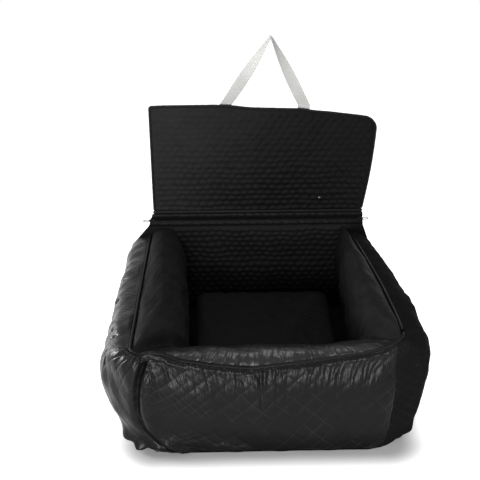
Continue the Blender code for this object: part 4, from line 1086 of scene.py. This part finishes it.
# Radius and height of the profile, from the middle of the dome outwards and round behind
STUD_PROFILE = (
    (0.0001, 0.0021), (0.0010, 0.0020), (0.0018, 0.0016), (0.0023, 0.0009), (0.0025, 0.0005),
    (0.0029, 0.0006), (0.0034, 0.0005), (0.0036, 0.0001), (0.0035, -0.0006), (0.0001, -0.0006),
)
angle = round_angles(24)
radius, proud = np.array(STUD_PROFILE).T[..., None]
rings = points_of(
    STUD_PLACE[0] + radius * np.cos(angle),
    STUD_Y + flap_bend(*STUD_PLACE) - proud,
    STUD_PLACE[1] + radius * np.sin(angle),
)
stud = lofted("stud", [rings], flip=True)
steel = plain_material(
    "bright_steel", (0.10, 0.10, 0.11), 0.35, 0.5, 500.0, metallic=1.0, mottle=0.08, depth=0.00005
)
dress(stud, steel, "flap", "bright_metal", "flap_stud")

# Headrest loop
# One length of pale grey 25 mm webbing. Its ends are sewn flat behind the flap, it comes over the top
# edge, and it turns through a quarter on the way to a narrow bend at the top.
WEBBING = (0.0125, 0.0008)
LOOP_SPAN = 0.175
LOOP_CENTRE = 0.0085
LOOP_FOOT = 0.5202
LOOP_RISE = 0.151
LOOP_LEAN = 0.010
TURN_RADIUS = 0.009
TURN_DEPTH = 0.0144
FLAT_SHARE = 0.25
SEWN_LENGTH = 0.045
SEWN_Y = 0.2447
SEWN_BELOW = 0.0086
# How far behind the flap's middle the loop starts, over what height it comes forward, and how much
# wider it lies where it is flat
LOOP_BEHIND = 0.0052
LOOP_COMES_OVER = 0.028
FLAT_WIDTH = 1.08
top = np.array([LOOP_CENTRE + LOOP_LEAN, LOOP_FOOT + LOOP_RISE])
feet = [np.array([LOOP_CENTRE + side * LOOP_SPAN / 2, LOOP_FOOT]) for side in (-1, 1)]
shoulders = [top + (side * TURN_RADIUS, -TURN_DEPTH) for side in (-1, 1)]
rise = np.linspace(0, 1, 60)[:, None]
legs = [foot + (shoulder - foot) * rise for foot, shoulder in zip(feet, shoulders)]
handles = [s + (s - f) * (4 / 3 * TURN_DEPTH) / (s - f)[1] for s, f in zip(shoulders, feet)]
arch = bezier(np.linspace(0, 1, 26)[1:-1], (shoulders[0], *handles, shoulders[1]))
loop_line = np.concatenate([legs[0], arch, legs[1][::-1]])
share = lengths_along(loop_line) / lengths_along(loop_line)[-1]
from_foot = np.minimum(share, 1 - share) * 2
climb = eased((loop_line[:, 1] - LOOP_FOOT) / LOOP_COMES_OVER)
middle = points_of(loop_line[:, 0], ZIP_Y + LOOP_BEHIND * (1 - climb), loop_line[:, 1])
sewn_z = LOOP_FOOT - SEWN_BELOW - SEWN_LENGTH * (1 - np.linspace(0, 1, 24)[:-1])
ends = [points_of(foot[0], SEWN_Y, sewn_z) for foot in feet]
path = np.concatenate([ends[0], middle, ends[1][::-1]])
sewn = len(sewn_z)
turn = np.pad(math.pi / 2 * held((from_foot - FLAT_SHARE) / (1 - FLAT_SHARE)), sewn)[:, None]
level = np.pad(1 - held(from_foot / FLAT_SHARE), sewn, constant_values=1)[:, None]
run = lengths_along(path)
tangent = unit(np.gradient(path, run, axis=0))
square = unit(points_of(-tangent[:, 2], 0, tangent[:, 0]))
flat_way = points_of(np.where(run < run[-1] / 2, -FLAT_WIDTH, FLAT_WIDTH), 0, 0)
wide = square * (1 - level) + flat_way * level
wide = wide * np.cos(turn) + np.sin(turn) * (0.0, 1.0, 0.0)
thick = unit(np.cross(wide, tangent))
angle = round_angles(40)
profile = WEBBING * points_of(soft(np.cos(angle), 0.5), soft(np.sin(angle), 0.35))
rings = path[:, None] + profile[:, :1] * wide[:, None] + profile[:, 1:] * thick[:, None]
webbing = lofted("webbing_loop", [rings], points_of(profile[:, 0], run[:, None]))
webbing_cloth = cloth_material(
    "webbing_cloth", (0.47, 0.47, 0.457), 0.75, 1.0, weave=0.0016, relief=0.2, mottle=0.06
)
webbing.data.materials.append(webbing_cloth)
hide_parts("strap_loop", "loop_end_left", "loop_end_right")
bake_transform(webbing)

# Cushion
# Loose floor cushion: a velvet-like top over foam, sewn to a plain underside. Its top is crowned and
# ruffled, and its sides draw in between the corners.
CUSHION_LEFT = -0.155
CUSHION_RIGHT = 0.169
CUSHION_FRONT = -0.165
CUSHION_BACK = 0.230
CUSHION_THICK = 0.068
SEAM_SHARE = 0.45
CUSHION_SEAM = FOOT_Z + CUSHION_THICK * SEAM_SHARE
CROWN = 0.006
DRAW_IN = 0.005
CORNER_ROUND = 0.014
SQUARENESS = 12
COVER_THICK = 0.0022
# The line, from the middle of the top towards its right back corner, that the cover is ruffled along
RUFFLE_START = (-0.004, -0.080)
RUFFLE_END = (0.142, 0.195)
RUFFLE_PITCH = 0.0125


def cushion_half(count, height, upward, inset_by=0.0):
    """Grid of one side: a square drawn in between its corners, whose height falls to the seam as the root
    of one less a high power each way. The upper side has a crown of one less a square each way."""
    edge = np.sin(np.linspace(-1, 1, count) * math.pi / 2)
    a, b = np.meshgrid(edge, edge, indexing="ij")
    half_x = (CUSHION_RIGHT - CUSHION_LEFT) / 2 - inset_by - DRAW_IN * (1 - b**2)
    half_y = (CUSHION_BACK - CUSHION_FRONT) / 2 - inset_by - DRAW_IN * (1 - a**2)
    x = (CUSHION_LEFT + CUSHION_RIGHT) / 2 + half_x * a * (1 - CORNER_ROUND * b**SQUARENESS)
    y = (CUSHION_FRONT + CUSHION_BACK) / 2 + half_y * b * (1 - CORNER_ROUND * a**SQUARENESS)
    full = np.sqrt((1 - a**SQUARENESS) * (1 - b**SQUARENESS))
    if upward:
        z = CUSHION_SEAM + (height - CROWN) * full + CROWN * (1 - a**2) * (1 - b**2)
    else:
        z = CUSHION_SEAM - height * np.minimum(1, 1.2 * full)
    return points_of(x, y, z), a, b


below = CUSHION_THICK * SEAM_SHARE
above = CUSHION_THICK - below
top_face, a, b = cushion_half(150, above, True)
x, y = top_face[..., 0], top_face[..., 1]
ruffle = 0.0010 * np.sin((x * 0.8 + y * 0.6) / 0.0042 + 3.0 * swell(x, y, 0.05, 91))
ruffle = ruffle * held(swell(x, y, 0.09, 92))
band = np.array(RUFFLE_END) - np.array(RUFFLE_START)
band_run = np.hypot(*band)
far = ((x - RUFFLE_START[0]) * band[0] + (y - RUFFLE_START[1]) * band[1]) / band_run
beside = ((y - RUFFLE_START[1]) * band[0] - (x - RUFFLE_START[0]) * band[1]) / band_run
within = held(far / 0.03) * held((band_run - far) / 0.03) * bell(beside, 0.017)
pleats = np.abs(np.sin(math.pi * far / RUFFLE_PITCH + 0.8 * swell(x, y, 0.04, 95))) ** 0.7
ruffle = ruffle + within * (0.0130 * pleats - 0.0055)
rumple = 0.0022 * swell(x, y, 0.10, 93) + 0.0008 * swell(x, y, 0.03, 94)
top_face[..., 2] += held((1 - np.maximum(np.abs(a), np.abs(b))) / 0.08) * (ruffle + rumple)
inner_top = top_face - (0, 0, COVER_THICK)
inner_top[..., 2] = np.maximum(inner_top[..., 2], CUSHION_SEAM + 0.0001)
velvet = cloth_material("velvet", (0.0060, 0.0060, 0.0063), 0.60, 0.30, relief=0.4, mottle=0.35)
top_cover = closed_sheet("cushion_velvet_top", top_face, inner_top, top_face[..., :2])
dress(top_cover, velvet, "cushion", "cushion_velvet", "cushion_top")

bottom_face = cushion_half(90, below, False)[0]
bottom_inner = bottom_face + (0, 0, COVER_THICK)
bottom_inner[..., 2] = np.minimum(bottom_inner[..., 2], CUSHION_SEAM - 0.0002)
bottom_face[..., 2] = np.minimum(bottom_face[..., 2], CUSHION_SEAM - 0.0001)
bottom_cover = closed_sheet("cushion_underside", bottom_inner, bottom_face, bottom_face[..., :2])
dress(bottom_cover, lining_cloth, "cushion", "lining_fabric", "cushion_bottom")

foam_top = cushion_half(60, above - 0.0075, True, inset_by=0.006)[0]
foam_bottom = cushion_half(60, below - 0.0040, False, inset_by=0.006)[0]
foam = closed_sheet("cushion_foam_block", foam_top, foam_bottom, foam_top[..., :2])
foam_cells = plain_material("foam_cells", (0.78, 0.76, 0.66), 0.9, 0.15, 900.0, mottle=0.1, relief=0.6)
dress(foam, foam_cells, "cushion", "foam", "cushion_foam")
